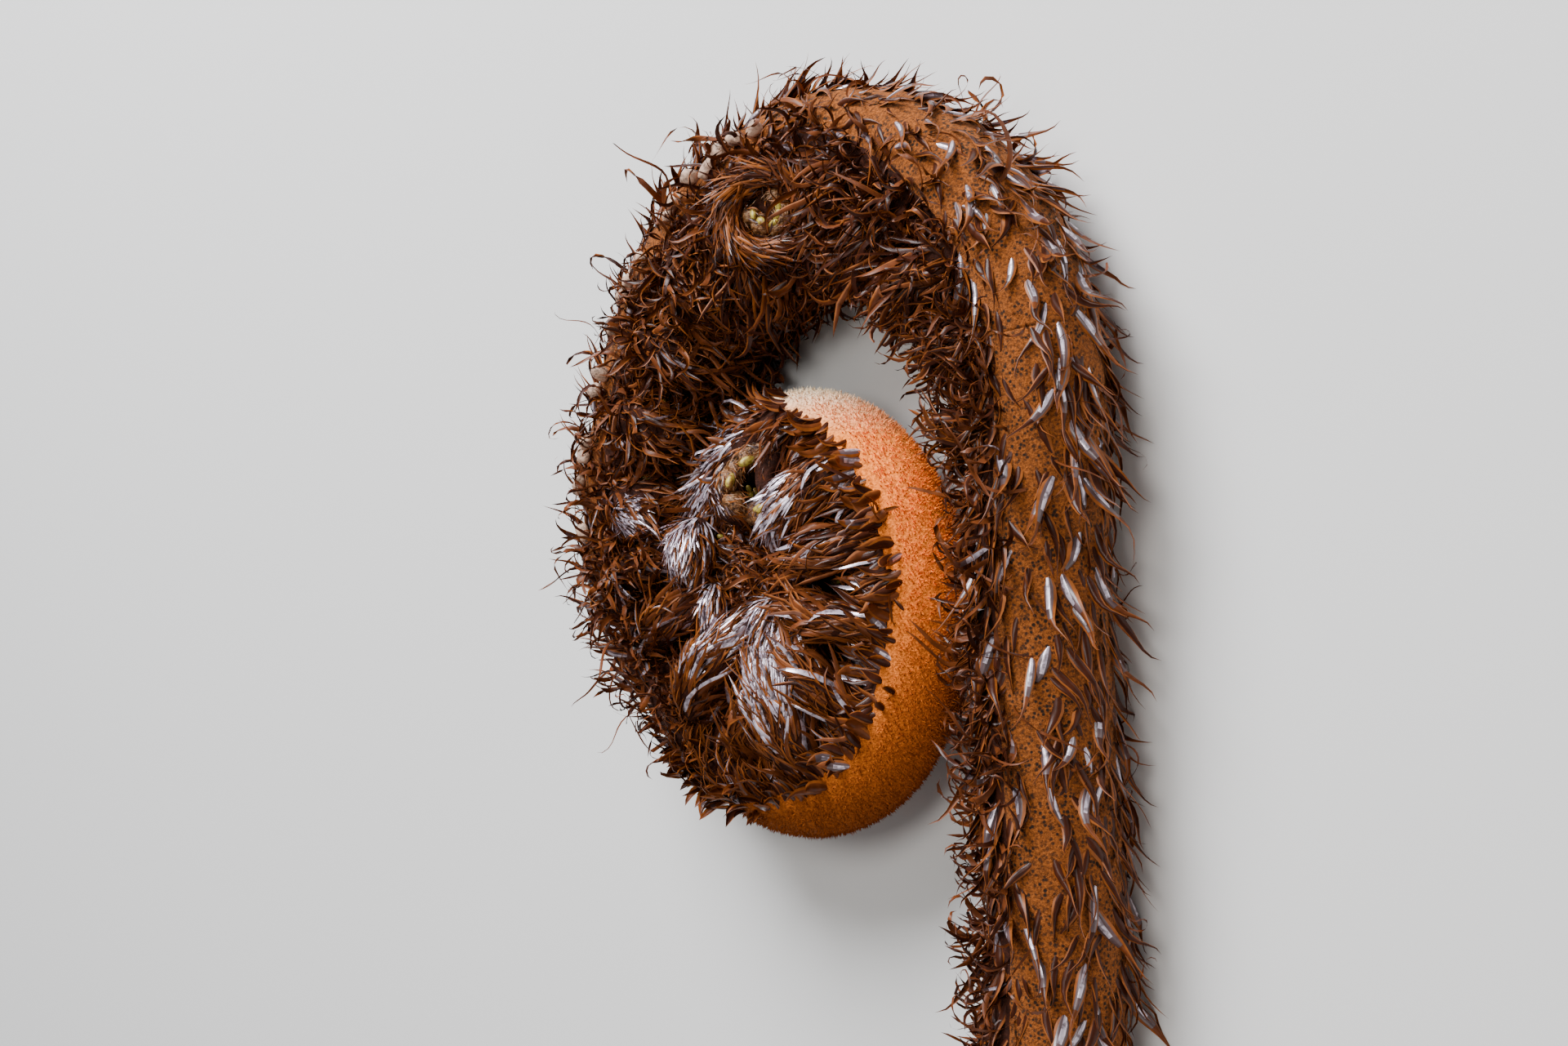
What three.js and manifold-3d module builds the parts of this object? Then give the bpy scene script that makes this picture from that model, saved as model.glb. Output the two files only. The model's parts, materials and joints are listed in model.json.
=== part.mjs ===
// A tree fern crozier: the cut, uncoiling tip of a young frond, lying on its side on level ground.
// Millimetres, +Z up. The stipe, the stalk's foot, runs along +Y from its flat cut. The stalk then arches
// over towards -X and coils up inside the arch, lying level. Curled young leaflets, the pinnae, stand in
// pairs above and below the stalk's inner side, and papery scales stand out of the stalk and the pinnae.
import * as THREE from "three";
import { mergeVertices } from "three/addons/utils/BufferGeometryUtils.js";
import Module from "manifold-3d";

const wasm = await Module();
wasm.setup();

// The stalk: where it starts, which way it heads, and how far along Y its end is trimmed flat.
const CUT = { x: 83.7, y: -106.6, heading: 83.9, trim: 2 };
const STALK_LENGTH = 698;
// Its bend in degrees per mm, at a distance in mm from the cut.
const BENDS = [
  [0, 0.23], [133, -0.17], [168, 0.95], [303, 0.87], [353, 0.28], [388, 1.3], [433, 0.3],
  [483, 1.8], [543, 1.03], [603, 1.82], [638, 1.2], [663, 5.26], [698, 8.5],
];
// Its bare radius in mm, at a distance in mm from the cut.
const RADII = [
  [0, 15.2], [160, 14.6], [240, 13.8], [360, 12.6], [500, 12.2], [560, 11.4], [600, 9.8],
  [640, 7.2], [665, 4.6], [698, 2.0],
];
const COIL_HEIGHT = 20; // of the coil's middle above the ground
const LEVEL_FROM = 190; // distance from the cut at which the stalk has reached that height
const STALK_SIDES = 12;
const BEND_PER_RING = 11; // degrees

// The stalk is split where it bends: each length's name and where it starts.
const LENGTHS = [
  ["stipe_foot", 0], ["stipe_top", 88], ["arch_rise", 168], ["arch_crown", 213], ["arch_fall", 260],
  ["arm_upper", 310], ["arm_lower", 358], ["coil_heel", 404], ["coil_sole", 448], ["coil_band_low", 489],
  ["coil_band_high", 530], ["coil_brow", 572], ["coil_heart", 618],
];
const JOINT_GAP = 0.3; // between two lengths, and round a pinna's root

// The pinnae: pairs along the arch, then along the coil.
const ARCH_PAIRS = { from: 146, to: 396, count: 12 };
const COIL_PAIRS = { from: 418, to: 652, count: 11 };
const PINNA = {
  firstAngle: 50, // of its root, above the way to the stalk's inner side
  curl: 215, // how far it curls over, from root to tip
  lean: 0.1, // how far it leans along the stalk, as a share of its reach
  sides: 8,
  rings: 7,
};
// A pinna's length along its curl and its greatest radius, at its place on the stalk.
const PINNA_LENGTHS = [
  [146, 26], [168, 30], [200, 38], [280, 40], [330, 31], [372, 25], [420, 40], [450, 47], [540, 47],
  [590, 34], [620, 22], [652, 14],
];
const PINNA_RADII = [
  [146, 4.8], [200, 6.2], [290, 6.4], [372, 5.6], [430, 6.8], [540, 7.2], [590, 5.6], [620, 4.2],
  [652, 2.9],
];
// Its radius as a share of the greatest, by the share of the way along it.
const PINNA_TAPER = [[0, 0.7], [0.25, 0.94], [0.5, 1], [0.7, 0.9], [1, 0.5]];

// The scales: their lengths in mm and how far they lift off the surface in degrees.
const SCALE = { width: 2.6, thickness: 0.55, sunk: 3, clearance: 0.15 };
const STALK_SCALES = { perMm: 0.6, length: [10, 17], lift: [14, 36], swing: [-20, 20] };
const PINNA_SCALES = { count: 6, length: [8, 14], lift: [24, 56], swing: [-10, 10] };
const PINNA_SCALES_FROM = 0.14; // share of the way along a pinna at which its scales start
const SCALE_BED = 0.9; // where its root lies, as a share of the limb's radius
const SCALE_TURN = 137.5; // degrees round the limb from one scale to the next
const CREST_TURN = 160; // degrees round a pinna, from the inside of its curl, to its first scale
// The bare felt that they leave free, in degrees from the middle of the stalk's back.
const BARE_COIL_FROM = 440; // distance from the cut past which the whole back is bare
const BARE_BACK = 84;
const BARE_FLANK = [50, 84];
const SEED = 20641;

const COLOURS = { felt: 0xa8582a, pinna: 0x4a2413, stalk: 0x7d431f };
const FAR = 400; // larger than the crozier

// Straight-line value from a table of [place, value] pairs.
function lookUp(table, place) {
  const after = table.findIndex(([at]) => at > place);
  if (after === 0) return table[0][1];
  if (after < 0) return table[table.length - 1][1];
  const [[a, low], [b, high]] = [table[after - 1], table[after]];
  return low + ((high - low) * (place - a)) / (b - a);
}

// A seeded source of numbers from 0 to 1.
function seeded(seed) {
  let state = seed >>> 0;
  return () => {
    state = (state + 0x6d2b79f5) >>> 0;
    let mixed = Math.imul(state ^ (state >>> 15), 1 | state);
    mixed = (mixed + Math.imul(mixed ^ (mixed >>> 7), 61 | mixed)) ^ mixed;
    return ((mixed ^ (mixed >>> 14)) >>> 0) / 4294967296;
  };
}

const between = (random, [low, high]) => low + (high - low) * random();
const radians = THREE.MathUtils.degToRad;

// The stalk's middle line, one entry a millimetre, found by following its bend from the cut.
function followStalk() {
  const line = [];
  const at = new THREE.Vector2(CUT.x, CUT.y);
  let heading = radians(CUT.heading);
  for (let s = 0; s <= STALK_LENGTH; s++) {
    line.push({ x: at.x, y: at.y, heading });
    heading += radians(lookUp(BENDS, s + 0.5));
    at.x += Math.cos(heading);
    at.y += Math.sin(heading);
  }
  return line;
}

const STALK = followStalk();
const FOOT_RADIUS = RADII[0][1];

// The middle line's height: the stipe's foot lies on the ground and the coil lies on its pinnae.
function heightAt(s) {
  const share = THREE.MathUtils.smoothstep(s, 0, LEVEL_FROM);
  return THREE.MathUtils.lerp(FOOT_RADIUS, COIL_HEIGHT, share);
}

// Place on the stalk: its middle, the way along it, the way to its back, and the way up.
function stalkFrame(s) {
  const low = THREE.MathUtils.clamp(Math.floor(s), 0, STALK_LENGTH - 1);
  const share = s - low;
  const [a, b] = [STALK[low], STALK[low + 1]];
  const heading = THREE.MathUtils.lerp(a.heading, b.heading, share);
  const middle = new THREE.Vector3(
    THREE.MathUtils.lerp(a.x, b.x, share),
    THREE.MathUtils.lerp(a.y, b.y, share),
    heightAt(s),
  );
  const rise = heightAt(s + 1) - heightAt(s);
  const along = new THREE.Vector3(Math.cos(heading), Math.sin(heading), rise).normalize();
  const back = new THREE.Vector3(Math.sin(heading), -Math.cos(heading), 0);
  const up = new THREE.Vector3().crossVectors(back, along);
  return { middle, along, back, up };
}

// Bends an upright shape of height 1, a cylinder or a sphere, along a path. By the share of the way along,
// frameAt gives the path's middle and two ways square to it, and radiusAt gives the radius.
function bentAlong(geometry, frameAt, radiusAt) {
  const position = geometry.getAttribute("position");
  const point = new THREE.Vector3();
  for (let i = 0; i < position.count; i++) {
    point.fromBufferAttribute(position, i);
    const share = point.y + 0.5;
    const { middle, back, up } = frameAt(share);
    const spread = Math.hypot(point.x, point.z);
    const reach = spread > 1e-6 ? radiusAt(share) / spread : 0;
    middle.addScaledVector(back, point.x * reach).addScaledVector(up, point.z * reach);
    position.setXYZ(i, middle.x, middle.y, middle.z);
  }
  return geometry;
}

function solidOf(geometry) {
  const bare = new THREE.BufferGeometry().setAttribute("position", geometry.getAttribute("position"));
  if (geometry.index) bare.setIndex(geometry.index);
  const merged = mergeVertices(bare, 1e-4);
  return new wasm.Manifold(
    new wasm.Mesh({
      numProp: 3,
      vertProperties: new Float32Array(merged.attributes.position.array),
      triVerts: new Uint32Array(merged.index.array),
    }),
  );
}

function geometryOf(solid) {
  const { vertProperties, triVerts } = solid.getMesh();
  return new THREE.BufferGeometry()
    .setAttribute("position", new THREE.BufferAttribute(vertProperties, 3))
    .setIndex(new THREE.BufferAttribute(triVerts, 1));
}

// A block, given by its lowest and highest corners.
function block(low, high) {
  const geometry = new THREE.BoxGeometry(high[0] - low[0], high[1] - low[1], high[2] - low[2]);
  geometry.translate((low[0] + high[0]) / 2, (low[1] + high[1]) / 2, (low[2] + high[2]) / 2);
  return solidOf(geometry);
}

const layer = (bottom, top) => block([-FAR, -FAR, bottom], [FAR, FAR, top]);
const BEYOND_CUT = block([-FAR, CUT.y + CUT.trim, 0], [FAR, FAR, FAR]);

// A bare stretch of the stalk from one place to another, grown by a margin all round.
function stalkStretch(from, to, margin = 0) {
  const turned = STALK[Math.round(to)].heading - STALK[Math.round(from)].heading;
  const rings = Math.max(2, Math.round(turned / radians(BEND_PER_RING)));
  const placeAt = (share) => {
    const place = THREE.MathUtils.lerp(from - margin, to + margin, share);
    return THREE.MathUtils.clamp(place, 0, STALK_LENGTH);
  };
  const tube = new THREE.CylinderGeometry(0.5, 0.5, 1, STALK_SIDES, rings);
  bentAlong(
    tube,
    (share) => stalkFrame(placeAt(share)),
    (share) => lookUp(RADII, placeAt(share)) + margin,
  );
  return solidOf(tube);
}

// A pinna's curl in its own plane: how far it reaches inwards and how high it stands, ring by ring.
function followCurl(length, stalkRadius) {
  const steps = 40;
  const line = [{ inwards: 0.3 * stalkRadius, outwards: 0.56 * stalkRadius }];
  for (let i = 0; i < steps; i++) {
    const angle = radians(PINNA.firstAngle - PINNA.curl * ((i + 0.5) / steps) ** 1.35);
    const last = line[i];
    line.push({
      inwards: last.inwards + (Math.cos(angle) * length) / steps,
      outwards: last.outwards + (Math.sin(angle) * length) / steps,
    });
  }
  return line;
}

// A pinna: where it stands on the stalk, on its upper side (1) or its lower one (-1).
function makePinna(place, side) {
  const stalk = stalkFrame(place);
  const curl = followCurl(lookUp(PINNA_LENGTHS, place), lookUp(RADII, place));
  const inwards = stalk.along.clone().multiplyScalar(PINNA.lean).sub(stalk.back).normalize();
  const pointAt = (share) => {
    const exact = THREE.MathUtils.clamp(share, 0, 1) * (curl.length - 1);
    const low = Math.min(Math.floor(exact), curl.length - 2);
    const mix = (key) => THREE.MathUtils.lerp(curl[low][key], curl[low + 1][key], exact - low);
    const point = stalk.middle.clone().addScaledVector(inwards, mix("inwards"));
    return point.addScaledVector(stalk.up, side * mix("outwards"));
  };
  const frameAt = (share) => {
    const along = pointAt(share + 0.02).sub(pointAt(share - 0.02)).normalize();
    const up = stalk.along.clone().addScaledVector(along, -stalk.along.dot(along)).normalize();
    up.multiplyScalar(side);
    return { middle: pointAt(share), along, back: new THREE.Vector3().crossVectors(along, up), up };
  };
  const radiusAt = (share) => lookUp(PINNA_RADII, place) * lookUp(PINNA_TAPER, share);
  return { place, side, frameAt, radiusAt, height: stalk.middle.z };
}

// The pinna's bare body, grown by a margin.
function pinnaBody(pinna, margin = 0) {
  const ball = new THREE.SphereGeometry(0.5, PINNA.sides, PINNA.rings);
  bentAlong(ball, pinna.frameAt, (share) => pinna.radiusAt(share) + margin);
  return solidOf(ball);
}

// A scale's place on a round limb: it points back towards the limb's root, lifted off the surface, and its
// root is sunk in the limb. Angles in degrees.
function placeScale(frame, radius, { turn, lift, swing, length }) {
  const [round, rise, sideways] = [turn, lift, swing].map(radians);
  const outwards = frame.back.clone().multiplyScalar(Math.cos(round));
  outwards.addScaledVector(frame.up, Math.sin(round));
  const around = new THREE.Vector3().crossVectors(frame.along, outwards).normalize();
  const towards = frame.along.clone().multiplyScalar(-Math.cos(sideways) * Math.cos(rise));
  towards.addScaledVector(around, Math.sin(sideways) * Math.cos(rise));
  towards.addScaledVector(outwards, Math.sin(rise)).normalize();
  const across = new THREE.Vector3().crossVectors(outwards, towards).normalize();
  const facing = new THREE.Vector3().crossVectors(across, towards);
  const root = frame.middle.clone().addScaledVector(outwards, radius * SCALE_BED);
  root.addScaledVector(towards, -SCALE.sunk);
  return { root, towards, across, facing, length: length + SCALE.sunk };
}

// One scale, grown by a margin: a pointed blade of eight faces from its root to its tip.
function scaleBlade({ root, towards, across, facing, length }, margin = 0) {
  const blade = new THREE.OctahedronGeometry(1);
  blade.scale(SCALE.width / 2 + margin, length / 2 + margin, SCALE.thickness / 2 + margin);
  blade.translate(0, length / 2, 0);
  blade.applyMatrix4(new THREE.Matrix4().makeBasis(across, towards, facing).setPosition(root));
  return solidOf(blade);
}

// True where two solids share space.
function meets(a, b) {
  const [boxA, boxB] = [a.boundingBox(), b.boundingBox()];
  const near = [0, 1, 2].every((i) => boxA.min[i] <= boxB.max[i] && boxB.min[i] <= boxA.max[i]);
  return near && !a.intersect(b).isEmpty();
}

const largestPiece = (solid) => solid.decompose().sort((a, b) => b.volume() - a.volume())[0];

function isBare(s, turn) {
  const fromBack = Math.abs(((turn + 180) % 360) - 180);
  if (s > BARE_COIL_FROM) return fromBack < BARE_BACK;
  return fromBack > BARE_FLANK[0] && fromBack < BARE_FLANK[1];
}

// The stalk's lengths. Its cut is flat and square to Y.
function makeLengths() {
  const lengths = LENGTHS.map(([name, from], i) => {
    const next = LENGTHS[i + 1];
    const to = next ? next[1] - JOINT_GAP : STALK_LENGTH;
    return { name, from, to, body: stalkStretch(from, to), room: stalkStretch(from, to, JOINT_GAP) };
  });
  lengths[0].body = lengths[0].body.intersect(BEYOND_CUT);
  return lengths;
}

// The pinnae, each cut clear of the stalk, of its middle plane and of the pinnae before it.
function makePinnae(lengths) {
  const places = [ARCH_PAIRS, COIL_PAIRS].flatMap(({ from, to, count }) =>
    Array.from({ length: count }, (_, i) => THREE.MathUtils.lerp(from, to, i / (count - 1))),
  );
  const pinnae = [];
  for (const [i, place] of places.entries()) {
    for (const side of [1, -1]) {
      const pinna = makePinna(place, side);
      const level = pinna.height + side * JOINT_GAP;
      const half = side > 0 ? layer(level, FAR) : layer(0, level);
      let body = pinnaBody(pinna).intersect(half);
      for (const { room } of [...lengths, ...pinnae]) {
        if (meets(body, room)) body = body.subtract(room);
      }
      pinna.name = `pinna_${side > 0 ? "upper" : "lower"}_${String(i + 1).padStart(2, "0")}`;
      pinna.body = largestPiece(body);
      pinna.room = pinnaBody(pinna, JOINT_GAP);
      pinnae.push(pinna);
    }
  }
  return pinnae;
}

// Where a length's scales might stand, spread round it and along it.
function stalkSpots(stretch, random) {
  const count = Math.round((stretch.to - stretch.from) * STALK_SCALES.perMm);
  return Array.from({ length: count }, (_, i) => {
    const s = THREE.MathUtils.lerp(stretch.from, stretch.to, (i + random()) / count);
    const spread = drawSpread(STALK_SCALES, i, random);
    return isBare(s, spread.turn) ? null : placeScale(stalkFrame(s), lookUp(RADII, s), spread);
  });
}

// Where a pinna's scales might stand, the first on the crest of its curl.
function pinnaSpots(pinna, random) {
  return Array.from({ length: PINNA_SCALES.count }, (_, i) => {
    const share = THREE.MathUtils.lerp(PINNA_SCALES_FROM, 0.95, (i + random()) / PINNA_SCALES.count);
    const frame = pinna.frameAt(share);
    frame.along.negate();
    const spread = drawSpread(PINNA_SCALES, i, random);
    spread.turn += CREST_TURN;
    return placeScale(frame, pinna.radiusAt(share), spread);
  });
}

function drawSpread({ length, lift, swing }, i, random) {
  return {
    turn: (i * SCALE_TURN + 40 * random()) % 360,
    lift: between(random, lift),
    swing: between(random, swing),
    length: between(random, length),
  };
}

// Fuses scales to their pieces: one that reaches the ground, the cut or another piece is left out.
function growScales(lengths, pinnae) {
  const random = seeded(SEED);
  const nodes = [...lengths, ...pinnae];
  const grown = [];
  for (const node of nodes) {
    const spots = node.from === undefined ? pinnaSpots(node, random) : stalkSpots(node, random);
    const blades = [];
    for (const spot of spots.filter(Boolean)) {
      const room = scaleBlade(spot, SCALE.clearance);
      const { min } = room.boundingBox();
      const blocked =
        min[2] < 0 ||
        min[1] < CUT.y + CUT.trim ||
        nodes.some((other) => other !== node && meets(room, other.room)) ||
        grown.some((other) => other.node !== node && meets(room, other.room));
      if (blocked) continue;
      blades.push(scaleBlade(spot));
      grown.push({ node, room });
    }
    node.solid = largestPiece(wasm.Manifold.union([node.body, ...blades]));
  }
  return nodes;
}

function colourOf(name) {
  if (name.startsWith("pinna")) return COLOURS.pinna;
  return name.startsWith("coil") ? COLOURS.felt : COLOURS.stalk;
}

const crozier = new THREE.Group();
const lengths = makeLengths();
for (const { name, solid } of growScales(lengths, makePinnae(lengths))) {
  const material = new THREE.MeshStandardMaterial({ color: colourOf(name), roughness: 0.8, metalness: 0 });
  const mesh = new THREE.Mesh(geometryOf(solid), material);
  mesh.name = name;
  crozier.add(mesh);
}

// The origin is under the middle of the whole, on the ground.
const box = new THREE.Box3().setFromObject(crozier);
crozier.position.set(-(box.min.x + box.max.x) / 2, -(box.min.y + box.max.y) / 2, -box.min.z);

const group = new THREE.Group();
group.add(crozier);
export default group;
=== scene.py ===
"""Dresses a tree fern crozier: the cut, uncoiling tip of a young frond, lying on its side."""
import json
import math

import bmesh
import bpy
import numpy as np
from bpy.props import FloatProperty, FloatVectorProperty, IntProperty, PointerProperty
from mathutils import Matrix, Vector

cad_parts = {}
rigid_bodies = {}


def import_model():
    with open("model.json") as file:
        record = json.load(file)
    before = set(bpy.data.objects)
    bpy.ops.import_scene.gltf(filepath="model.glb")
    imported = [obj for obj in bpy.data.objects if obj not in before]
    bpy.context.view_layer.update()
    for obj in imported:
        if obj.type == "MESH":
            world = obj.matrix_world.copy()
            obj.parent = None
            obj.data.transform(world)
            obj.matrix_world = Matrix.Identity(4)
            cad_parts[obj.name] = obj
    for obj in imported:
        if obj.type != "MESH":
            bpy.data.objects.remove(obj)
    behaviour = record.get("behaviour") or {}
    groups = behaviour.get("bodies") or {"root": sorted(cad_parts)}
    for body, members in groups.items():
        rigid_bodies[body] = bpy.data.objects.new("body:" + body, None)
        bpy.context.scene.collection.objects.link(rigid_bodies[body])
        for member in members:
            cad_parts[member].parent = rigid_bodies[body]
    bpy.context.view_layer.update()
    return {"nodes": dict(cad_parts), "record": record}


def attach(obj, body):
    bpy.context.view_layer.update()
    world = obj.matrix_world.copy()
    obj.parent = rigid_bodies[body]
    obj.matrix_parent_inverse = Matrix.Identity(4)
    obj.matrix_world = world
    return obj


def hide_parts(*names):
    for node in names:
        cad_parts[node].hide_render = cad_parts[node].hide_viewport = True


bl_info = {
    "name": "Tree fern crozier",
    "version": (1, 0, 0),
    "blender": (4, 5, 0),
    "location": "3D View > Sidebar > Crozier",
    "description": "Grows the felt, the scales and the curled young leaflets of a tree fern crozier",
    "category": "Add Mesh",
}

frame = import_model()
MM = 0.001

# The stalk's own rule, as in the part's source, in mm and degrees.
CUT = {"x": 83.7, "y": -106.6, "heading": 83.9, "trim": 2.0}
STALK_LENGTH = 698
BENDS = (
    (0, 0.23), (133, -0.17), (168, 0.95), (303, 0.87), (353, 0.28), (388, 1.3), (433, 0.3),
    (483, 1.8), (543, 1.03), (603, 1.82), (638, 1.2), (663, 5.26), (698, 8.5),
)
RADII = (
    (0, 15.2), (160, 14.6), (240, 13.8), (360, 12.6), (500, 12.2), (560, 11.4), (600, 9.8),
    (640, 7.2), (665, 4.6), (698, 2.0),
)
COIL_HEIGHT = 20.0
LEVEL_FROM = 190.0  # from here on the stalk lies level, and before it rises from the cut
CUT_FADE = 20  # how far from the cut the stalk's rings are turned towards it
ARCH_FROM = 168  # where the stipe's skin ends and the arch's starts
COIL_FROM = 448  # where the arch's skin ends and the coil's starts

# Where the coil's brow ends in y, how far below it the felt's fade starts, and the fade itself: position,
# strength of the deep colour and share of the pale one. The fade is painted light and shade: the felt is pale
# where the brow faces the light and dark, as painted shade, towards the sole. Then the grain that darkens and
# lightens it.
BROW_TOP = 52.0
PAINTED_LIGHT_LENGTH = 108.0
COIL_FELT_PAINTED_LIGHT = (
    (0.0, 0.6, 0), (0.42, 1.6, 0), (0.6, 2.25, 0), (0.8, 2.4, 0), (0.89, 2.7, 0.02),
    (0.955, 2.8, 0.35), (1.0, 2.35, 1),
)
COIL_FELT_GRAIN = ((0.32, (0.42, 0.36, 0.3)), (0.5, (0.95, 0.95, 0.95)), (0.68, (1.5, 1.55, 1.6)))

# Degrees from the middle of the back to where the coil's felt gives way to scales, by place.
FELT_EDGE = (
    (440, 0), (458, 12), (470, 46), (482, 66), (515, 68), (572, 60), (594, 54), (608, 20), (618, -20),
)

# The pinnae's rule, as in the part's source.
ARCH_PAIRS = {"from": 146, "to": 396, "count": 12}
COIL_PAIRS = {"from": 418, "to": 652, "count": 11}
PINNA_GROUPS = (
    ("arch", ARCH_PAIRS, 1), ("arch", ARCH_PAIRS, -1), ("coil", COIL_PAIRS, 1), ("coil", COIL_PAIRS, -1),
)
SIDE_WORDS = {1: "upper", -1: "lower"}
PINNA_BODY = (34, 24)  # rows and columns of a pinna's body
PINNA_GROUND = (18, 14)  # and of the ground that its scales stand on
FIRST_ANGLE = 50.0
CURL = 215.0
LEAN = 0.1
PINNA_LENGTHS = (
    (146, 26), (168, 30), (200, 38), (280, 40), (330, 31), (372, 25), (420, 40), (450, 47), (540, 47),
    (590, 34), (620, 22), (652, 14),
)
PINNA_RADII = (
    (146, 4.8), (200, 6.2), (290, 6.4), (372, 5.6), (430, 6.8), (540, 7.2), (590, 5.6), (620, 4.2),
    (652, 2.9),
)
PINNA_TAPER = ((0, 0.7), (0.25, 0.94), (0.5, 1), (0.7, 0.9), (1, 0.5))

# How large each coil pinna's fist is, and how much painted highlight its scales take, by place.
FISTS = (
    (418, 0.85, 0.1), (441, 1.12, 0.38), (464, 0.72, 0), (488, 1.25, 0.95), (511, 0.78, 0.1),
    (535, 0.7, 0), (558, 0.78, 0.15), (581, 1.25, 1), (605, 0.62, 0), (628, 1.12, 0.6), (652, 1.3, 0.6),
)
PAINTED_LIGHT_COLUMN = 2
# The painted highlights are strongest on the side of each fist that faces the light.
PAINTED_LIGHT_SIDE = (-0.2, 0.45, 0.8)  # the way a fist's scales face where they shine most

# Nests of the youngest curls, one in the coil's heart and one in the arch. The middle is in mm, its x and y
# from the rule's own origin and its z from the coil's middle height. Each has the way it opens, how far its
# curls stand round it and between which turns, their sizes, and the reach in which other scales thin out.
NESTS = (
    {"middle": (3.0, 29.5, 8.3), "opens": (0.5, 0, 1), "round": 8.0, "turn": (0, 360), "count": 11,
     "sizes": (4.8, 6.6), "bare": (11.5, 15.5)},
    {"middle": (17.5, 93.0, 20.0), "opens": (0.6, 0.1, 1), "round": 4.2, "turn": (20, 290), "count": 6,
     "sizes": (3.6, 5.0), "bare": (9.5, 14.0)},
)
LOWER_NEST_REACH = 12.0  # the most that a middle on the lower side stands off the coil's middle height
YOUNG_BALL = (9, 12)  # rows and columns of a young curl's body
# The ring-shaped curl round the arch's nest: its radius, how thick it is, and its turns.
NEST_CURL = {"round": 8.8, "thick": 2.6, "turn": (-60, 330)}

# The woolly mat that closes the very middle of the coil: x and y in mm, as for a nest, width and depth.
HEART_MAT = {"middle": (6.5, 7.5), "width": 22.0, "depth": 15.0}

# Fists of the middle pinnae whose fine scales carry painted highlights like satin: middle, as for a nest, the
# way their scales are combed, and their length and width in mm.
SATIN_FISTS = (
    {"middle": (-18.5, 13.5, 10.5), "combed": (0.2, -1, 0.3), "size": (16, 12)},
    {"middle": (-36.5, 21.0, 13.5), "combed": (0.9, -0.35, 0.1), "size": (13, 9)},
    {"middle": (-11.5, -0.5, 9.5), "combed": (0.3, -1, 0.2), "size": (12, 7.5)},
    {"middle": (8.5, -3.0, 11.0), "combed": (-0.4, -1, 0.2), "size": (11, 7.5)},
)

# The air pores' row: where it runs along the stalk, its degrees from the middle of the back, and the share of
# places without one.
PORES = {"from": 264, "to": 388, "every": 6.0, "degrees": 72, "missing": 0.12}

# The cut end: rings of its face, and its bundles' count, corners, half length, half width and how far they
# stand out and reach in, in mm. Their ring and its wave are shares of the stalk's radius.
CUT_RINGS = 25
BUNDLES = {"count": 26, "corners": 10, "long": 1.25, "short": 0.6, "proud": 0.34, "deep": 0.5,
           "ring": 0.7, "wave": 0.06}

# A scale's outline: its half width along its length.
LANCE = ((0, 0.45), (0.12, 0.9), (0.28, 1), (0.46, 0.66), (0.66, 0.25), (1, 0.03))
PETAL = ((0, 0.5), (0.2, 0.92), (0.45, 1), (0.7, 0.72), (0.88, 0.34), (1, 0.03))
STRAP = ((0, 0.5), (0.2, 0.95), (0.5, 1), (0.8, 0.6), (1, 0.05))
THREAD = ((0, 1), (0.6, 0.8), (1, 0.2))
# Where the edges of a scale's strips run across it. Strips up to one width are margins, and strips past the
# other are its ridge, which may carry a painted reflection.
WIDE = (-1, -0.7, -0.3, 0.36, 0.72, 1)
FLAT = (-1, 0, 1)
NARROW = (-1, 0.5, 1)
SINGLE = (-1, 1)
MARGIN_STRIP = 0.31
RIDGE_STRIP = 0.6

# Each kind of scale: how many forms, length and width in mm, outline, strips, steps along it, the share that
# may carry a painted reflection, and its ranges of bend, sway, wave and twist in degrees and of cup.
SCALES = {
    "lance": (14, 15.5, 2.7, LANCE, WIDE, 8, 0.4, (-45, 70), (-45, 45), (10, 34), (-130, 130), (0.5, 0.9)),
    "petal": (12, 8.5, 2.7, PETAL, WIDE, 6, 0.45, (-30, 95), (-35, 35), (4, 20), (-70, 70), (0.4, 0.9)),
    "satin": (14, 9.5, 0.62, STRAP, FLAT, 4, 0.8, (-60, -8), (-16, 16), (3, 12), (-30, 30), (0.3, 0.7)),
    "curl": (
        16, 16, 1.2, STRAP, NARROW, 10, 0.3, (-120, 260), (-190, 190), (15, 50), (-260, 260), (0.3, 0.8)),
    "silk": (16, 11.5, 1.05, STRAP, NARROW, 5, 0.8, (-85, -5), (-34, 34), (6, 26), (-70, 70), (0.4, 0.9)),
    "thread": (
        10, 20, 0.6, THREAD, SINGLE, 14, 0, (-220, 320), (-260, 260), (30, 80), (-200, 200), (0, 0.1)),
}
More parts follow.
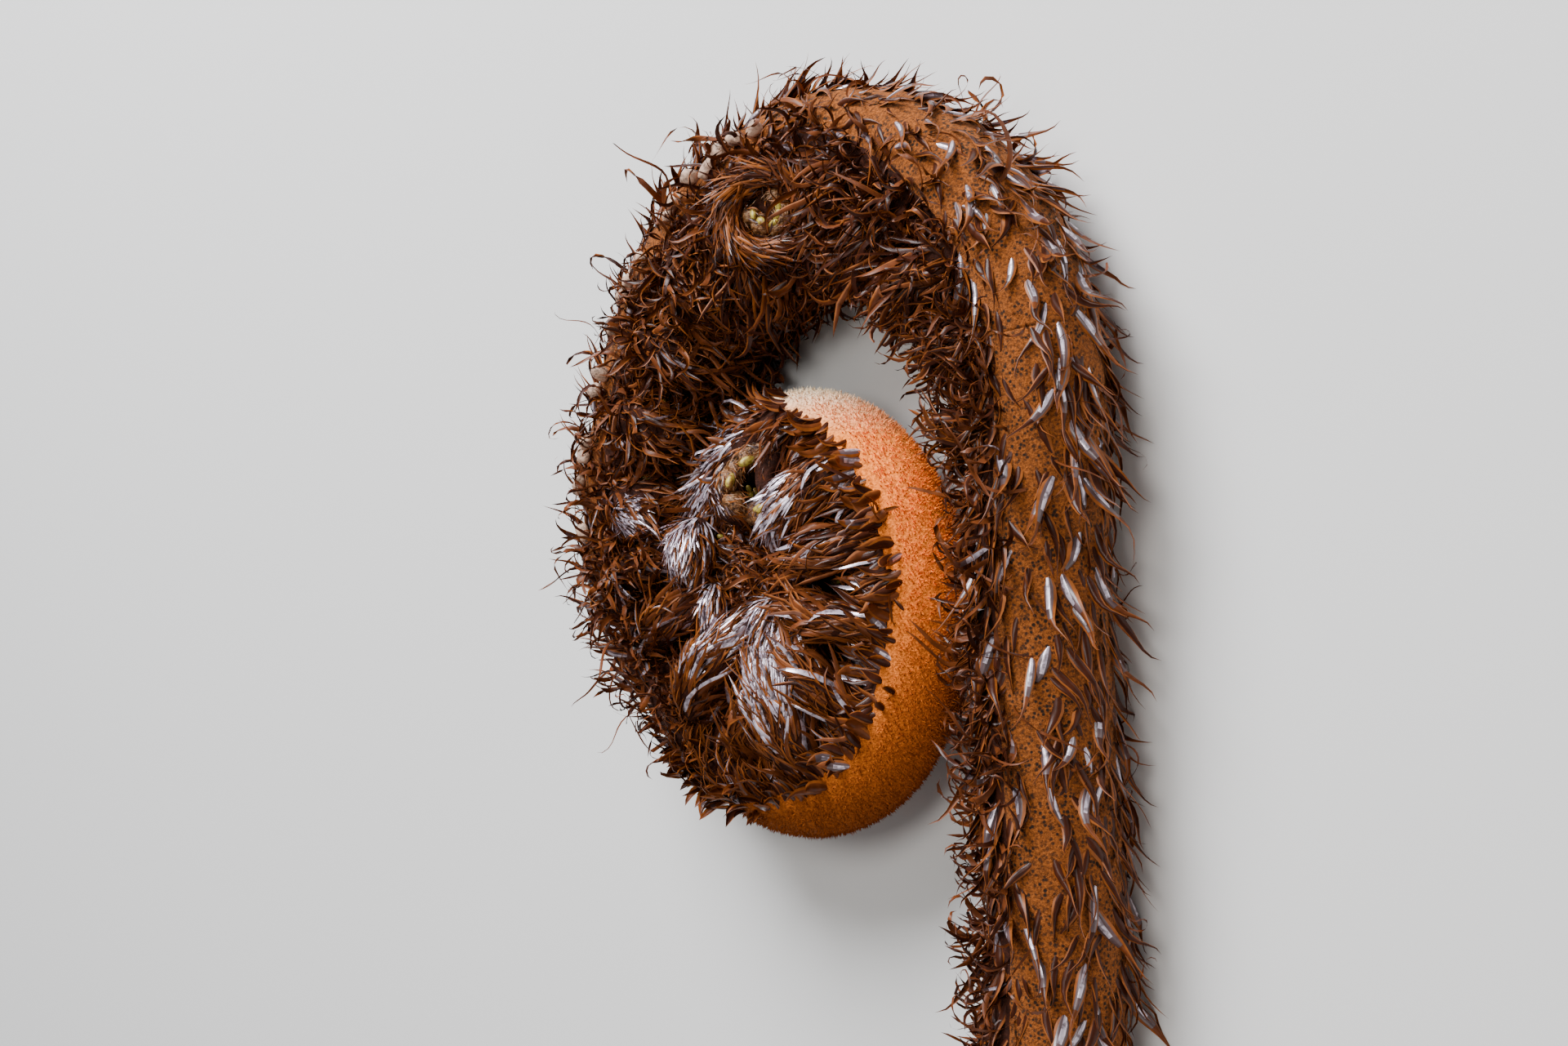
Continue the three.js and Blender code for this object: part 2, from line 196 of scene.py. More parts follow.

# How each covering stands: spacing in mm, density a square metre, seed, turns in degrees (least lift, most
# lift, roll and swing either way), least and most size, and the brown share and the share with the silvery
# painted reflection.
COATS = {
    "stipe_lances": (2.2, 1.2e5, 0, (0, 22, 25, 32), (0.7, 1.25), 0.25, 0.36),
    "arch_lances": (1.9, 1.3e5, 1, (2, 34, 28, 42), (0.55, 1.0), 0.35, 0.42),
    "stipe_wool": (1.5, 2.3e5, 5, (4, 56, 60, 50), (0.7, 1.2), 0.35, 0.04),
    "arch_wool": (1.3, 3.0e5, 6, (4, 56, 60, 50), (0.65, 1.1), 0.35, 0.04),
    "arch_pinna_wool": (1.4, 2.6e5, 20, (5, 55, 60, 60), (0.7, 1.2), 0.35, 0.03),
    "arch_pinna_silk": (1.3, 2.4e5, 30, (3, 30, 35, 30), (0.9, 1.6), 0.35, 0.03),
    "coil_pinna_silk": (0.75, 1.1e6, 22, (1, 18, 30, 22), (0.75, 1.3), 0.4, 0.04),
    "coil_pinna_satin": (0.38, 4.2e6, 42, (5, 17, 16, 10), (0.8, 1.2), 0.4, 0.12),
    "coil_petals": (1.5, 3.4e5, 40, (6, 48, 25, 30), (0.7, 1.15), 0.35, 0.12),
    "coil_silk": (1.1, 5.0e5, 41, (24, 58, 30, 25), (0.7, 1.15), 0.35, 0.05),
    "heart_satin": (0.45, 3.0e6, 42, (8, 30, 16, 12), (0.7, 1.15), 0.35, 0.06),
    "heart_wool": (0.9, 9.0e5, 45, (8, 72, 50, 60), (0.6, 1.0), 0.35, 0.2),
    "heart_mat_wool": (1.1, 6.0e5, 46, (5, 60, 50, 90), (0.6, 1.0), 0.35, 0.05),
    "coil_nap": (0.4, 2.6e6, 60, (-30, 30, 30, 180), (0.7, 1.3), 0.0, 0.0),
    "stipe_threads": (2.0, 2.4e4, 80, (10, 70, 40, 60), (0.6, 1.2), 0.7, 0.0),
    "arch_threads": (2.0, 2.8e4, 81, (10, 70, 40, 60), (0.6, 1.2), 0.7, 0.0),
    "arch_wisps": (7.0, 9e3, 83, (0, 26, 40, 90), (1.0, 1.5), 0.8, 0.0),
    "young_hair": (0.7, 1.3e6, 98, (0, 24, 40, 40), (0.24, 0.42), 0.45, 0.15),
    "nest_curl": (0.48, 2.8e6, 99, (3, 32, 30, 22), (0.5, 1.0), 0.4, 0.12),
    "satin_fist_scales": (0.42, 3.8e6, 110, (5, 20, 18, 12), (0.6, 1.0), 0.45, 0.1),
}
# The scales' tints. Dark, brown and margin are the scales' own colours; the silvery tint and its dusky edge
# are painted reflections of the light on glossy scales.
TINTS = ("dark", "brown", "silver", "dusk", "margin")

# The stage: the soft lights, each told from what it lights, in m, then the world and the floor.
LIGHTS = {
    "sky_light": {"from": (-0.25, 1.0, 0.75), "size": 0.8, "power": 42, "colour": (0.94, 0.96, 1.0)},
    "high_light": {"from": (0.35, 0.25, 1.1), "size": 0.5, "power": 6, "colour": (1.0, 0.98, 0.95)},
    "fill_light": {"from": (0.8, -0.7, 0.6), "size": 0.8, "power": 2.5, "colour": (1.0, 0.95, 0.9)},
}
WORLD = {"Color": (0.9, 0.93, 1.0, 1), "Strength": 0.16}
FLOOR_COLOUR = (0.78, 0.77, 0.75)
FLOOR_HALF = 3.0
# Whatever would reach lower than this above the floor lies pressed to it in slight ripples, all in mm.
PRESSED = {"below": 0.2, "to": 0.12, "ripple": 0.08, "ripples": 9.0}

# The photograph's view: a lens of 60 mm, 640 mm from the coil and 45 degrees above its plane.
LENS = 60.0
CAMERA_DISTANCE = 640 * MM
CAMERA_ELEVATION = math.radians(45)
CAMERA_AIM = (1.4 * MM, 19.9 * MM, -1.4 * MM)


# Places on the stalk and round it

def look_up(table, place, column=1):
    """Straight-line values from a column of a table whose first column holds places."""
    columns = list(zip(*table))
    return np.interp(place, columns[0], columns[column])


def smooth_step(value, low, high):
    """0 up to low, 1 from high on, and smooth in between."""
    share = np.clip((np.asarray(value, float) - low) / (high - low), 0, 1)
    return share * share * (3 - 2 * share)


def unit(ways):
    """The same ways, of length one."""
    return ways / np.linalg.norm(ways, axis=-1, keepdims=True)


def follow_stalk():
    """The stalk's middle line, one entry a millimetre: place, x, y and heading."""
    places = np.arange(STALK_LENGTH + 1)
    turns = np.radians(look_up(BENDS, places[:-1] + 0.5))
    heading = math.radians(CUT["heading"]) + np.concatenate([[0], np.cumsum(turns)])
    x = CUT["x"] + np.concatenate([[0], np.cumsum(np.cos(heading[1:]))])
    y = CUT["y"] + np.concatenate([[0], np.cumsum(np.sin(heading[1:]))])
    return places, x, y, heading


STALK = follow_stalk()
CUT_PLACE = CUT["trim"] / math.sin(math.radians(CUT["heading"]))


def height_at(place):
    return RADII[0][1] + (COIL_HEIGHT - RADII[0][1]) * smooth_step(place, 0, LEVEL_FROM)


def raw_stalk_frame(place):
    """Middle, along, back and up at places on the stalk, in mm from the rule's own origin."""
    place = np.clip(np.atleast_1d(np.asarray(place, float)), 0, STALK_LENGTH)
    places, xs, ys, headings = STALK
    heading = np.interp(place, places, headings)
    middle = np.stack([np.interp(place, places, xs), np.interp(place, places, ys), height_at(place)], 1)
    climb = height_at(place + 1) - height_at(place)
    along = unit(np.stack([np.cos(heading), np.sin(heading), climb], 1))
    back = np.stack([np.sin(heading), -np.cos(heading), np.zeros_like(heading)], 1)
    return middle, along, back, np.cross(back, along)


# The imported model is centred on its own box, so its cut end says where the rule's origin went.
CUT_CENTRE = np.array(frame["record"]["mounts"][0]["pos_m"])
SHIFT = np.array([
    CUT_CENTRE[0] - raw_stalk_frame(CUT_PLACE)[0][0][0] * MM,
    CUT_CENTRE[1] - (CUT["y"] + CUT["trim"]) * MM,
    0.0,
])


def stalk_frame(place):
    middle, along, back, up = raw_stalk_frame(place)
    return middle * MM + SHIFT, along, back, up


def stalk_frame_at(place):
    """Middle, along, back and up at one place."""
    return (value[0] for value in stalk_frame(place))


def stalk_radius(place):
    return look_up(RADII, place) * MM


def from_back(turns):
    """Degrees from the middle of the stalk's back, on either side."""
    return np.degrees(np.abs((turns + math.pi) % (2 * math.pi) - math.pi))


def coil_point(middle, side):
    """A point on one side of the coil, in the part's frame."""
    x, y, z = middle
    if side < 0:
        z = min(z, LOWER_NEST_REACH)
    return np.array([x * MM + SHIFT[0], y * MM + SHIFT[1], (COIL_HEIGHT + side * z) * MM])


def nest_frame(nest, side):
    """The middle of a nest on one side of the coil, the way it opens, and two ways across that."""
    opens = unit(np.array(nest["opens"]) * (1, 1, side))
    first = unit(np.cross(opens, (0, 1.0, 0)))
    return coil_point(nest["middle"], side), opens, first, np.cross(opens, first) * side


def off_nests(points):
    """0 at the nests, where scales are few and short, and 1 away from them."""
    cover = np.ones(len(points))
    for nest in NESTS:
        near, far = nest["bare"]
        for side in (1, -1):
            reach = np.linalg.norm(points - nest_frame(nest, side)[0], axis=1)
            cover *= smooth_step(reach, near * MM, far * MM)
    return cover


def lattice_noise(points, size, seed):
    """Smooth noise from -1 to 1 whose lumps are of the given size."""
    scaled = points / size
    cell = np.floor(scaled).astype(np.int64)
    part = scaled - cell
    part = part * part * (3 - 2 * part)
    total = np.zeros(len(points))
    for corner in np.ndindex(2, 2, 2):
        at = cell + corner
        mixed = (at[:, 0] * 73856093) ^ (at[:, 1] * 19349663) ^ (at[:, 2] * 83492791) ^ (seed * 2654435761)
        mixed = ((mixed ^ (mixed >> 13)) * 1274126177) & 0xFFFFFFFF
        value = ((mixed ^ (mixed >> 16)) & 0xFFFF) / 32767.5 - 1
        total += value * np.prod(np.where(corner, part, 1 - part), axis=1)
    return total


def swirl(points, size, strength):
    """A smooth random vector at each point, that combs neighbouring scales the same way."""
    return np.stack([lattice_noise(points, size, 50 + axis) for axis in range(3)], 1) * strength


# Meshes

def mesh_object(name, points, faces):
    mesh = bpy.data.meshes.new(name)
    mesh.from_pydata(np.asarray(points, float).tolist(), [], faces)
    mesh.update()
    piece = bpy.data.objects.new(name, mesh)
    bpy.context.scene.collection.objects.link(piece)
    return piece


def closed_body(name, points, faces):
    """A mesh whose faces are all turned outwards."""
    piece = mesh_object(name, points, faces)
    work = bmesh.new()
    work.from_mesh(piece.data)
    bmesh.ops.recalc_face_normals(work, faces=work.faces)
    work.to_mesh(piece.data)
    work.free()
    return piece


def shade_smooth(piece):
    piece.data.polygons.foreach_set("use_smooth", [True] * len(piece.data.polygons))


def lay_on_ground(piece):
    """Presses whatever would reach below the floor flat against it."""
    points = np.empty(len(piece.data.vertices) * 3, np.float32)
    piece.data.vertices.foreach_get("co", points)
    points = points.reshape(-1, 3)
    low = points[:, 2] < PRESSED["below"] * MM
    ripples = PRESSED["ripple"] * np.sin(points[low, 0] * (PRESSED["ripples"] / MM))
    points[low, 2] = (PRESSED["to"] + ripples) * MM
    piece.data.vertices.foreach_set("co", points.ravel())
    piece.data.update()


def grid_faces(rows, columns, offset=0):
    """Quads of a tube whose columns close on themselves, facing outwards."""
    faces = []
    for row in range(rows - 1):
        for column in range(columns):
            beside = (column + 1) % columns
            low = offset + row * columns
            faces.append((low + column, low + beside, low + columns + beside, low + columns + column))
    return faces


def capped_rings(rings, offset=0):
    """Points and faces of a closed tube from an array of rings of points, each end closed by a fan."""
    rows, columns, _ = rings.shape
    points = np.concatenate([rings.reshape(-1, 3), [rings[0].mean(0)], [rings[-1].mean(0)]])
    faces = grid_faces(rows, columns, offset)
    last = offset + (rows - 1) * columns
    foot = offset + rows * columns
    for column in range(columns):
        beside = (column + 1) % columns
        faces.append((foot, offset + beside, offset + column))
        faces.append((foot + 1, last + column, last + beside))
    return points, faces


def with_ends(values, ends=1):
    """A tube's values with those of its two end points, which repeat their neighbours' or are 0."""
    return np.concatenate([values, values[:1] * ends, values[-1:] * ends])


def round_turns(columns):
    return np.linspace(0, 2 * math.pi, columns, endpoint=False)


def ways_round(first, second, turns):
    """Ways outwards round each point of a line, from two ways across it."""
    return first[:, None] * np.cos(turns)[None, :, None] + second[:, None] * np.sin(turns)[None, :, None]


def rounded_tip(places, start, length):
    """Shares of a full radius that round a tip off past a start."""
    return np.sqrt(np.clip(1 - (np.clip(places - start, 0, None) / length) ** 2, 0.02, 1))


def stalk_rings(first, last, step, columns):
    """Bare rings of the stalk, with the ways outwards, along, the places and the turns."""
    places = np.linspace(first, last, max(3, int(round((last - first) / step)) + 1))
    turns = round_turns(columns)
    middle, along, back, up = stalk_frame(places)
    outward = ways_round(back, up, turns)
    rings = middle[:, None] + outward * stalk_radius(places)[:, None, None]
    if first == CUT_PLACE:
        fade = np.clip(1 - (places - first) / CUT_FADE, 0, 1)
        slide = (CUT_CENTRE[1] - rings[0, :, 1]) / along[0, 1]
        rings = rings + along[:, None] * (fade[:, None] * slide[None, :])[..., None]
    return rings, outward, along, places, turns


def lumpy_ball(centre, axis, length, width, rows, columns, seed, lumps=0.14):
    """Points and faces of a small closed body, longest along its axis."""
    axis = unit(axis)
    side = unit(np.cross(axis, (0.3, 0.5, 0.8)))
    third = np.cross(axis, side)
    points = [-axis * length / 2]
    for i in range(1, rows):
        polar = math.pi * i / rows
        for j in range(columns):
            turn = 2 * math.pi * j / columns
            flat = side * math.cos(turn) + third * math.sin(turn)
            points.append(flat * math.sin(polar) * width / 2 - axis * math.cos(polar) * length / 2)
    points.append(axis * length / 2)
    points = np.array(points)
    points *= 1 + lumps * lattice_noise(points + centre * 7, width * 0.4, seed)[:, None]
    faces = []
    last = len(points) - 1
    for j in range(columns):
        beside = (j + 1) % columns
        faces.append((0, 1 + beside, 1 + j))
        faces.append((last, last - columns + j, last - columns + beside))
        for i in range(rows - 2):
            a, b = 1 + i * columns + j, 1 + i * columns + beside
            faces.append((a, b, b + columns, a + columns))
    return points + centre, faces


def join_balls(name, balls):
    """One mesh of many small bodies, each given as the arguments of lumpy_ball."""
    points, faces = [], []
    for ball in balls:
        ball_points, ball_faces = lumpy_ball(*ball)
        offset = sum(len(each) for each in points)
        points.append(ball_points)
        faces += [tuple(corner + offset for corner in face) for face in ball_faces]
    piece = closed_body(name, np.concatenate(points), faces)
    shade_smooth(piece)
    return piece


def finish(piece, starts=(), materials=()):
    """Gives a piece its materials and body. It replaces the nodes whose names start as given."""
    for material in materials:
        piece.data.materials.append(material)
    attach(piece, "root")
    nodes = [name for name in sorted(frame["nodes"]) if name.startswith(tuple(starts))]
    if nodes:
        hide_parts(*nodes)


def discard(*things):
    for thing in things:
        if isinstance(thing, bpy.types.Collection):
            for piece in list(thing.objects):
                bpy.data.objects.remove(piece)
            bpy.data.collections.remove(thing)
        else:
            bpy.data.objects.remove(thing)


# Nodes and materials

def connect(tree, value, socket):
    """Links a socket to another one, or sets it to a plain value."""
    if isinstance(value, bpy.types.NodeSocket):
        tree.links.new(value, socket)
    else:
        socket.default_value = value


def add_node(tree, kind, inputs=None, output=0, **settings):
    """Adds a node whose inputs, by name or number, are set or linked, and returns one of its outputs."""
    node = tree.nodes.new(kind)
    for key, value in settings.items():
        setattr(node, key, value)
    for key, value in (inputs or {}).items():
        connect(tree, value, node.inputs[key])
    return node.outputs[output] if len(node.outputs) else node


def object_noise(tree, scale, detail=3.0, roughness=0.6):
    """Noise on Object coordinates, its scale in lumps a metre."""
    place = add_node(tree, "ShaderNodeTexCoord", output="Object")
    inputs = {"Vector": place, "Scale": scale, "Detail": detail, "Roughness": roughness}
    return add_node(tree, "ShaderNodeTexNoise", inputs, "Fac")


def colour_ramp(tree, source, stops):
    colour = add_node(tree, "ShaderNodeValToRGB", {"Fac": source}, "Color")
    ramp = colour.node.color_ramp
    while len(ramp.elements) < len(stops):
        ramp.elements.new(0.5)
    for element, (position, stop) in zip(ramp.elements, stops):
        element.position = position
        element.color = (*stop, 1)
    return colour


def mix_colours(tree, share, first, second, blend="MIX"):
    inputs = {"Factor": share, 6: first, 7: second}
    return add_node(tree, "ShaderNodeMix", inputs, 2, data_type="RGBA", blend_type=blend)


def add_bump(tree, shader, height, distance):
    """Embosses a shader, to a distance in mm."""
    inputs = {"Height": height, "Strength": 1.0, "Distance": distance * MM}
    connect(tree, add_node(tree, "ShaderNodeBump", inputs), shader.inputs["Normal"])


def shade(colour, factor):
    return tuple(min(1.0, channel * factor) for channel in colour)


def mean(first, second, share):
    return tuple(a + (b - a) * share for a, b in zip(first, second))


def node_material(name, colour, roughness, specular=0.5, metallic=0.0, sheen=0.0, sheen_tint=(1, 1, 1)):
    """A new material of one colour, with its tree and its shader."""
    material = bpy.data.materials.new(name)
    material.use_nodes = True
    material.diffuse_color = (*colour, 1)
    shader = material.node_tree.nodes["Principled BSDF"]
    values = {
        "Base Color": (*colour, 1), "Roughness": roughness, "Specular IOR Level": specular,
        "Metallic": metallic, "Sheen Weight": sheen, "Sheen Tint": (*sheen_tint, 1),
    }
    for key, value in values.items():
        shader.inputs[key].default_value = value
    return material, material.node_tree, shader


def noisy_material(name, base, stops, noise, roughness, specular=0.5, metallic=0.0, bump=0.0):
    """A material whose colour follows noise. Its stops hold colours, or strengths of the base colour."""
    material, tree, shader = node_material(name, base, roughness, specular, metallic)
    grain = object_noise(tree, *noise)
    colours = [(at, stop if isinstance(stop, tuple) else shade(base, stop)) for at, stop in stops]
    connect(tree, colour_ramp(tree, grain, colours), shader.inputs["Base Color"])
    if bump:
        add_bump(tree, shader, grain, bump)
    return material


def coil_felt(settings):
    """Matt granular felt with painted light and shade: dark at the coil's sole and pale at its brow, which
    faces the light.
    """
    deep, pale = tuple(settings.felt_colour), tuple(settings.pale_felt_colour)
    material, tree, shader = node_material("coil_felt", deep, 0.92, 0.1, sheen=0.04, sheen_tint=(1, 0.6, 0.3))
    place = add_node(tree, "ShaderNodeTexCoord", output="Object")
    height = add_node(tree, "ShaderNodeSeparateXYZ", {0: place}, "Y")
    brow = SHIFT[1] + BROW_TOP * MM
    # How far along the painted light and shade each point is, by its y.
    inputs = {"Value": height, "From Min": brow - PAINTED_LIGHT_LENGTH * MM, "From Max": brow}
    reach = add_node(tree, "ShaderNodeMapRange", inputs, "Result")
    # Painted shade towards the sole, the deep felt in the middle, and painted light at the brow.
    stops = [(at, mean(shade(deep, strength), pale, share)) for at, strength, share in COIL_FELT_PAINTED_LIGHT]
    mottle = colour_ramp(tree, object_noise(tree, 1500, 3, 0.7), COIL_FELT_GRAIN)
    colour = mix_colours(tree, 1.0, colour_ramp(tree, reach, stops), mottle, "MULTIPLY")
    connect(tree, colour, shader.inputs["Base Color"])
    add_bump(tree, shader, object_noise(tree, 1900, 2, 0.6), 0.4)
    return material


def stipe_felt(settings):
    """Orange-brown felt, grainy with patches of dark specks."""
    base = tuple(settings.stipe_felt_colour)
    sheen_tint = (1, 0.7, 0.45)
    material, tree, shader = node_material("stipe_felt", base, 0.9, 0.15, sheen=0.12, sheen_tint=sheen_tint)
    grain = object_noise(tree, 1500, 3, 0.8)
    felt = colour_ramp(tree, grain, ((0.32, shade(base, 0.3)), (0.48, base), (0.66, shade(base, 1.9))))
    place = add_node(tree, "ShaderNodeTexCoord", output="Object")
    inputs = {"Vector": place, "Scale": 950, "Randomness": 1.0}
    specks = add_node(tree, "ShaderNodeTexVoronoi", inputs, "Distance")
    share = colour_ramp(tree, specks, ((0.28, (1, 1, 1)), (0.5, (0, 0, 0))))
    where = colour_ramp(tree, object_noise(tree, 170, 4, 0.7), ((0.38, (0.2, 0.2, 0.2)), (0.55, (1, 1, 1))))
    amount = mix_colours(tree, 1.0, share, where, "MULTIPLY")
    colour = mix_colours(tree, amount, felt, (0.02, 0.012, 0.008, 1))
    connect(tree, colour, shader.inputs["Base Color"])
    add_bump(tree, shader, grain, 0.5)
    return material


def pinna_felt(settings):
    """Dark felt under the scales."""
    base = shade(tuple(settings.scale_colour), 0.9)
    stops = ((0.3, 0.35), (0.55, 1), (0.72, 2.2))
    return noisy_material("pinna_felt", base, stops, (700, 4, 0.7), 0.85, 0.2, bump=0.5)


def tender_tip(settings):
    """Yellow-green tissue, brown where its scurf lies."""
    stops = ((0.4, (0.2, 0.09, 0.015)), (0.56, 1))
    return noisy_material("tender_tip", tuple(settings.tender_colour), stops, (600,), 0.4)


def shared(make, settings):
    """A material that several pieces use, made at its first use by the function of its name."""
    return bpy.data.materials.get(make.__name__) or make(settings)


def scale_material(name, colour, roughness, specular, metallic=0.0, low=None):
    """A glossy scale colour, streaked only a little, or broken up by another one into painted glints."""
    noise, stops = (420, 2, 0.5), ((0.3, 0.72), (0.7, 1.35))
    if low:
        noise, stops = (650, 2, 0.6), ((0.36, low), (0.5, 1), (0.7, 1.2))
    return noisy_material(name, colour, stops, noise, roughness, specular, metallic)


def scale_palette(settings):
    """The scales' materials by tint, made at their first use."""
    dark, silver = tuple(settings.scale_colour), tuple(settings.silver_colour)
    # The silvery colour is a painted reflection of the light; its dusky edge, mostly dark, is a fainter
    # painted reflection, and the mix between them breaks it into painted glints.
    dusk = mean(dark, silver, 0.08)
    low = mean(dusk, silver, 0.3)
    looks = {
        "dark": (dark, 0.32, 0.2),
        "brown": (tuple(settings.brown_colour), 0.36, 0.18),
        "silver": (silver, 0.32, 0.6, 0.5, low),
        "dusk": (dusk, 0.3, 0.6),
        "margin": (tuple(settings.margin_colour), 0.42, 0.2),
        # The satin tint is a brighter painted reflection.
        "satin": (shade(silver, 1.25), 0.3, 0.6, 0.5, low),
    }
    found = bpy.data.materials.get
    return {
        tint: found(f"scale_{tint}") or scale_material(f"scale_{tint}", *look)
        for tint, look in looks.items()
    }


# The satin fists' scales: the brighter painted reflection in place of the silvery one, and amber margins in
# place of brown.
def satin_palette(settings):
    made = scale_palette(settings)
    return made | {"silver": made["satin"], "brown": made["margin"]}


# Forms that the scatter repeats

def ribbon(name, length, width, profile, across, pitch, yaw, twist, cup, steps, shoulder):
    """A scale from its root at the origin towards +Y, its outer face up. pitch and yaw bend it, in degrees
    from root to tip. Its ridge may carry the silvery painted reflection up to shoulder, a share of its
    length, and a fainter, dusky painted reflection lies there and a little past it."""
    points, faces, margins, shoulders, waists = [], [], [], [], []
    at = np.zeros(3)
    columns = len(across)
    for i in range(steps + 1):
        share = i / steps
        lift = math.radians(pitch(share))
        side = math.radians(yaw(share))
        ahead = np.array([math.sin(side) * math.cos(lift), math.cos(side) * math.cos(lift), math.sin(lift)])
        if i:
            at = at + ahead * length / steps
        roll = math.radians(twist * share)
        flat = unit(np.cross(ahead, (0, 0, 1.0) if abs(ahead[2]) < 0.95 else (1.0, 0, 0)))
        right = flat * math.cos(roll) + np.cross(flat, ahead) * math.sin(roll)
        out = np.cross(right, ahead)
        half = width / 2 * float(look_up(profile, share))
        if i == steps:
            points.append(at)
        else:
            points += [at + right * half * u - out * half * cup * (u * u - 0.4) for u in across]
    for i in range(steps):
        for j in range(columns - 1):
            a = i * columns + j
            tip = len(points) - 1
            faces.append((a, a + 1, tip) if i == steps - 1 else (a, a + 1, a + columns + 1, a + columns))
            strip = across[j + 1] - across[j]
            ridge = strip > RIDGE_STRIP
            margins.append(strip <= MARGIN_STRIP or (across == NARROW and not ridge))
            shoulders.append(ridge and (i + 0.5) / steps < shoulder)
            waists.append((i + 0.5) / steps < shoulder + 1.2 / steps)
    piece = mesh_object(name, points, faces)
    for attribute, values in (("margin", margins), ("shoulder", shoulders), ("waist", waists)):
        layer = piece.data.attributes.new(attribute, "BOOLEAN", "FACE")
        layer.data.foreach_set("value", values)
    shade_smooth(piece)
    return piece


def gather(name, pieces):
    """Puts forms in a collection of their own for the scatter to pick from."""
    group = bpy.data.collections.new(name)
    bpy.context.scene.collection.children.link(group)
    for piece in pieces:
        bpy.context.scene.collection.objects.unlink(piece)
        group.objects.link(piece)
    return group


def scale_forms(kind, seed):
    """A set of scales of one kind, that differ in size, bend, sway, waviness, twist and cup."""
    count, length, width, profile, across, steps, shoulder, bend, sway, wave, twist, cup = SCALES[kind]
    random = np.random.default_rng(seed)
    forms = []
    for i in range(count):
        bend_end, sway_end = random.uniform(*bend), random.uniform(*sway)
        ripple, phase = random.uniform(*wave), random.uniform(0, 6)

        def pitch(t, end=bend_end, ripple=ripple, phase=phase):
            return end * t ** 1.4 + ripple * t * math.sin(6 * t + phase)

        def yaw(t, end=sway_end, ripple=ripple, phase=phase):
            return end * t ** 1.4 + ripple * t * math.cos(7 * t + phase)

        long = length * MM * random.uniform(0.75, 1.25)
        wide = width * MM * random.uniform(0.75, 1.25)
        rolled, cupped = random.uniform(*twist), random.uniform(*cup)
        name = f"{kind}_{i:02d}"
        forms.append(ribbon(name, long, wide, profile, across, pitch, yaw, rolled, cupped, steps, shoulder))
    return gather(kind, forms)


def fuzz_forms():
    """Tiny tufts of the felt."""
    forms = []
    for i in range(3):
        tall, wide = (0.75 + 0.2 * i) * MM, 0.16 * MM
        lean = 0.25 * MM * (i - 1)
        points = [(-wide, -wide, 0), (wide, -wide, 0), (0, wide, 0), (lean, lean * 0.6, tall)]
        forms.append(mesh_object(f"fuzz_{i}", points, [(0, 1, 3), (1, 2, 3), (2, 0, 3)]))
    return gather("fuzz_forms", forms)


# The scatter

SCATTER_INPUTS = {
    "Ground": "Geometry", "Forms": "Collection", "Spacing": "Float", "Density": "Float", "Seed": "Int",
    "Least Turn": "Vector", "Most Turn": "Vector", "Least Size": "Float", "Most Size": "Float",
    "Brown Share": "Float", "Silver Share": "Float", "Dark": "Material", "Brown": "Material",
    "Silver": "Material", "Dusk": "Material", "Margin": "Material",
}


def steer(ground, flow, cover=1, growth=1, shine=0):
    """Stores on a ground mesh what the scatter goes by: flow is the way the tips point, cover how thickly the
    scales stand, growth their size, and the last the painted light: how readily they take the painted
    reflection and the brown tint, and fewer of them where it is negative, as painted shade."""
    count = len(ground.data.vertices)
    for name, values in (("flow", flow), ("cover", cover), ("growth", growth), ("shine", shine)):
        kind, key, shape = ("FLOAT", "value", count)
        if name == "flow":
            kind, key, shape = ("FLOAT_VECTOR", "vector", (count, 3))
        layer = ground.data.attributes.get(name) or ground.data.attributes.new(name, kind, "POINT")
        layer.data.foreach_set(key, np.broadcast_to(values, shape).astype(np.float32).ravel())


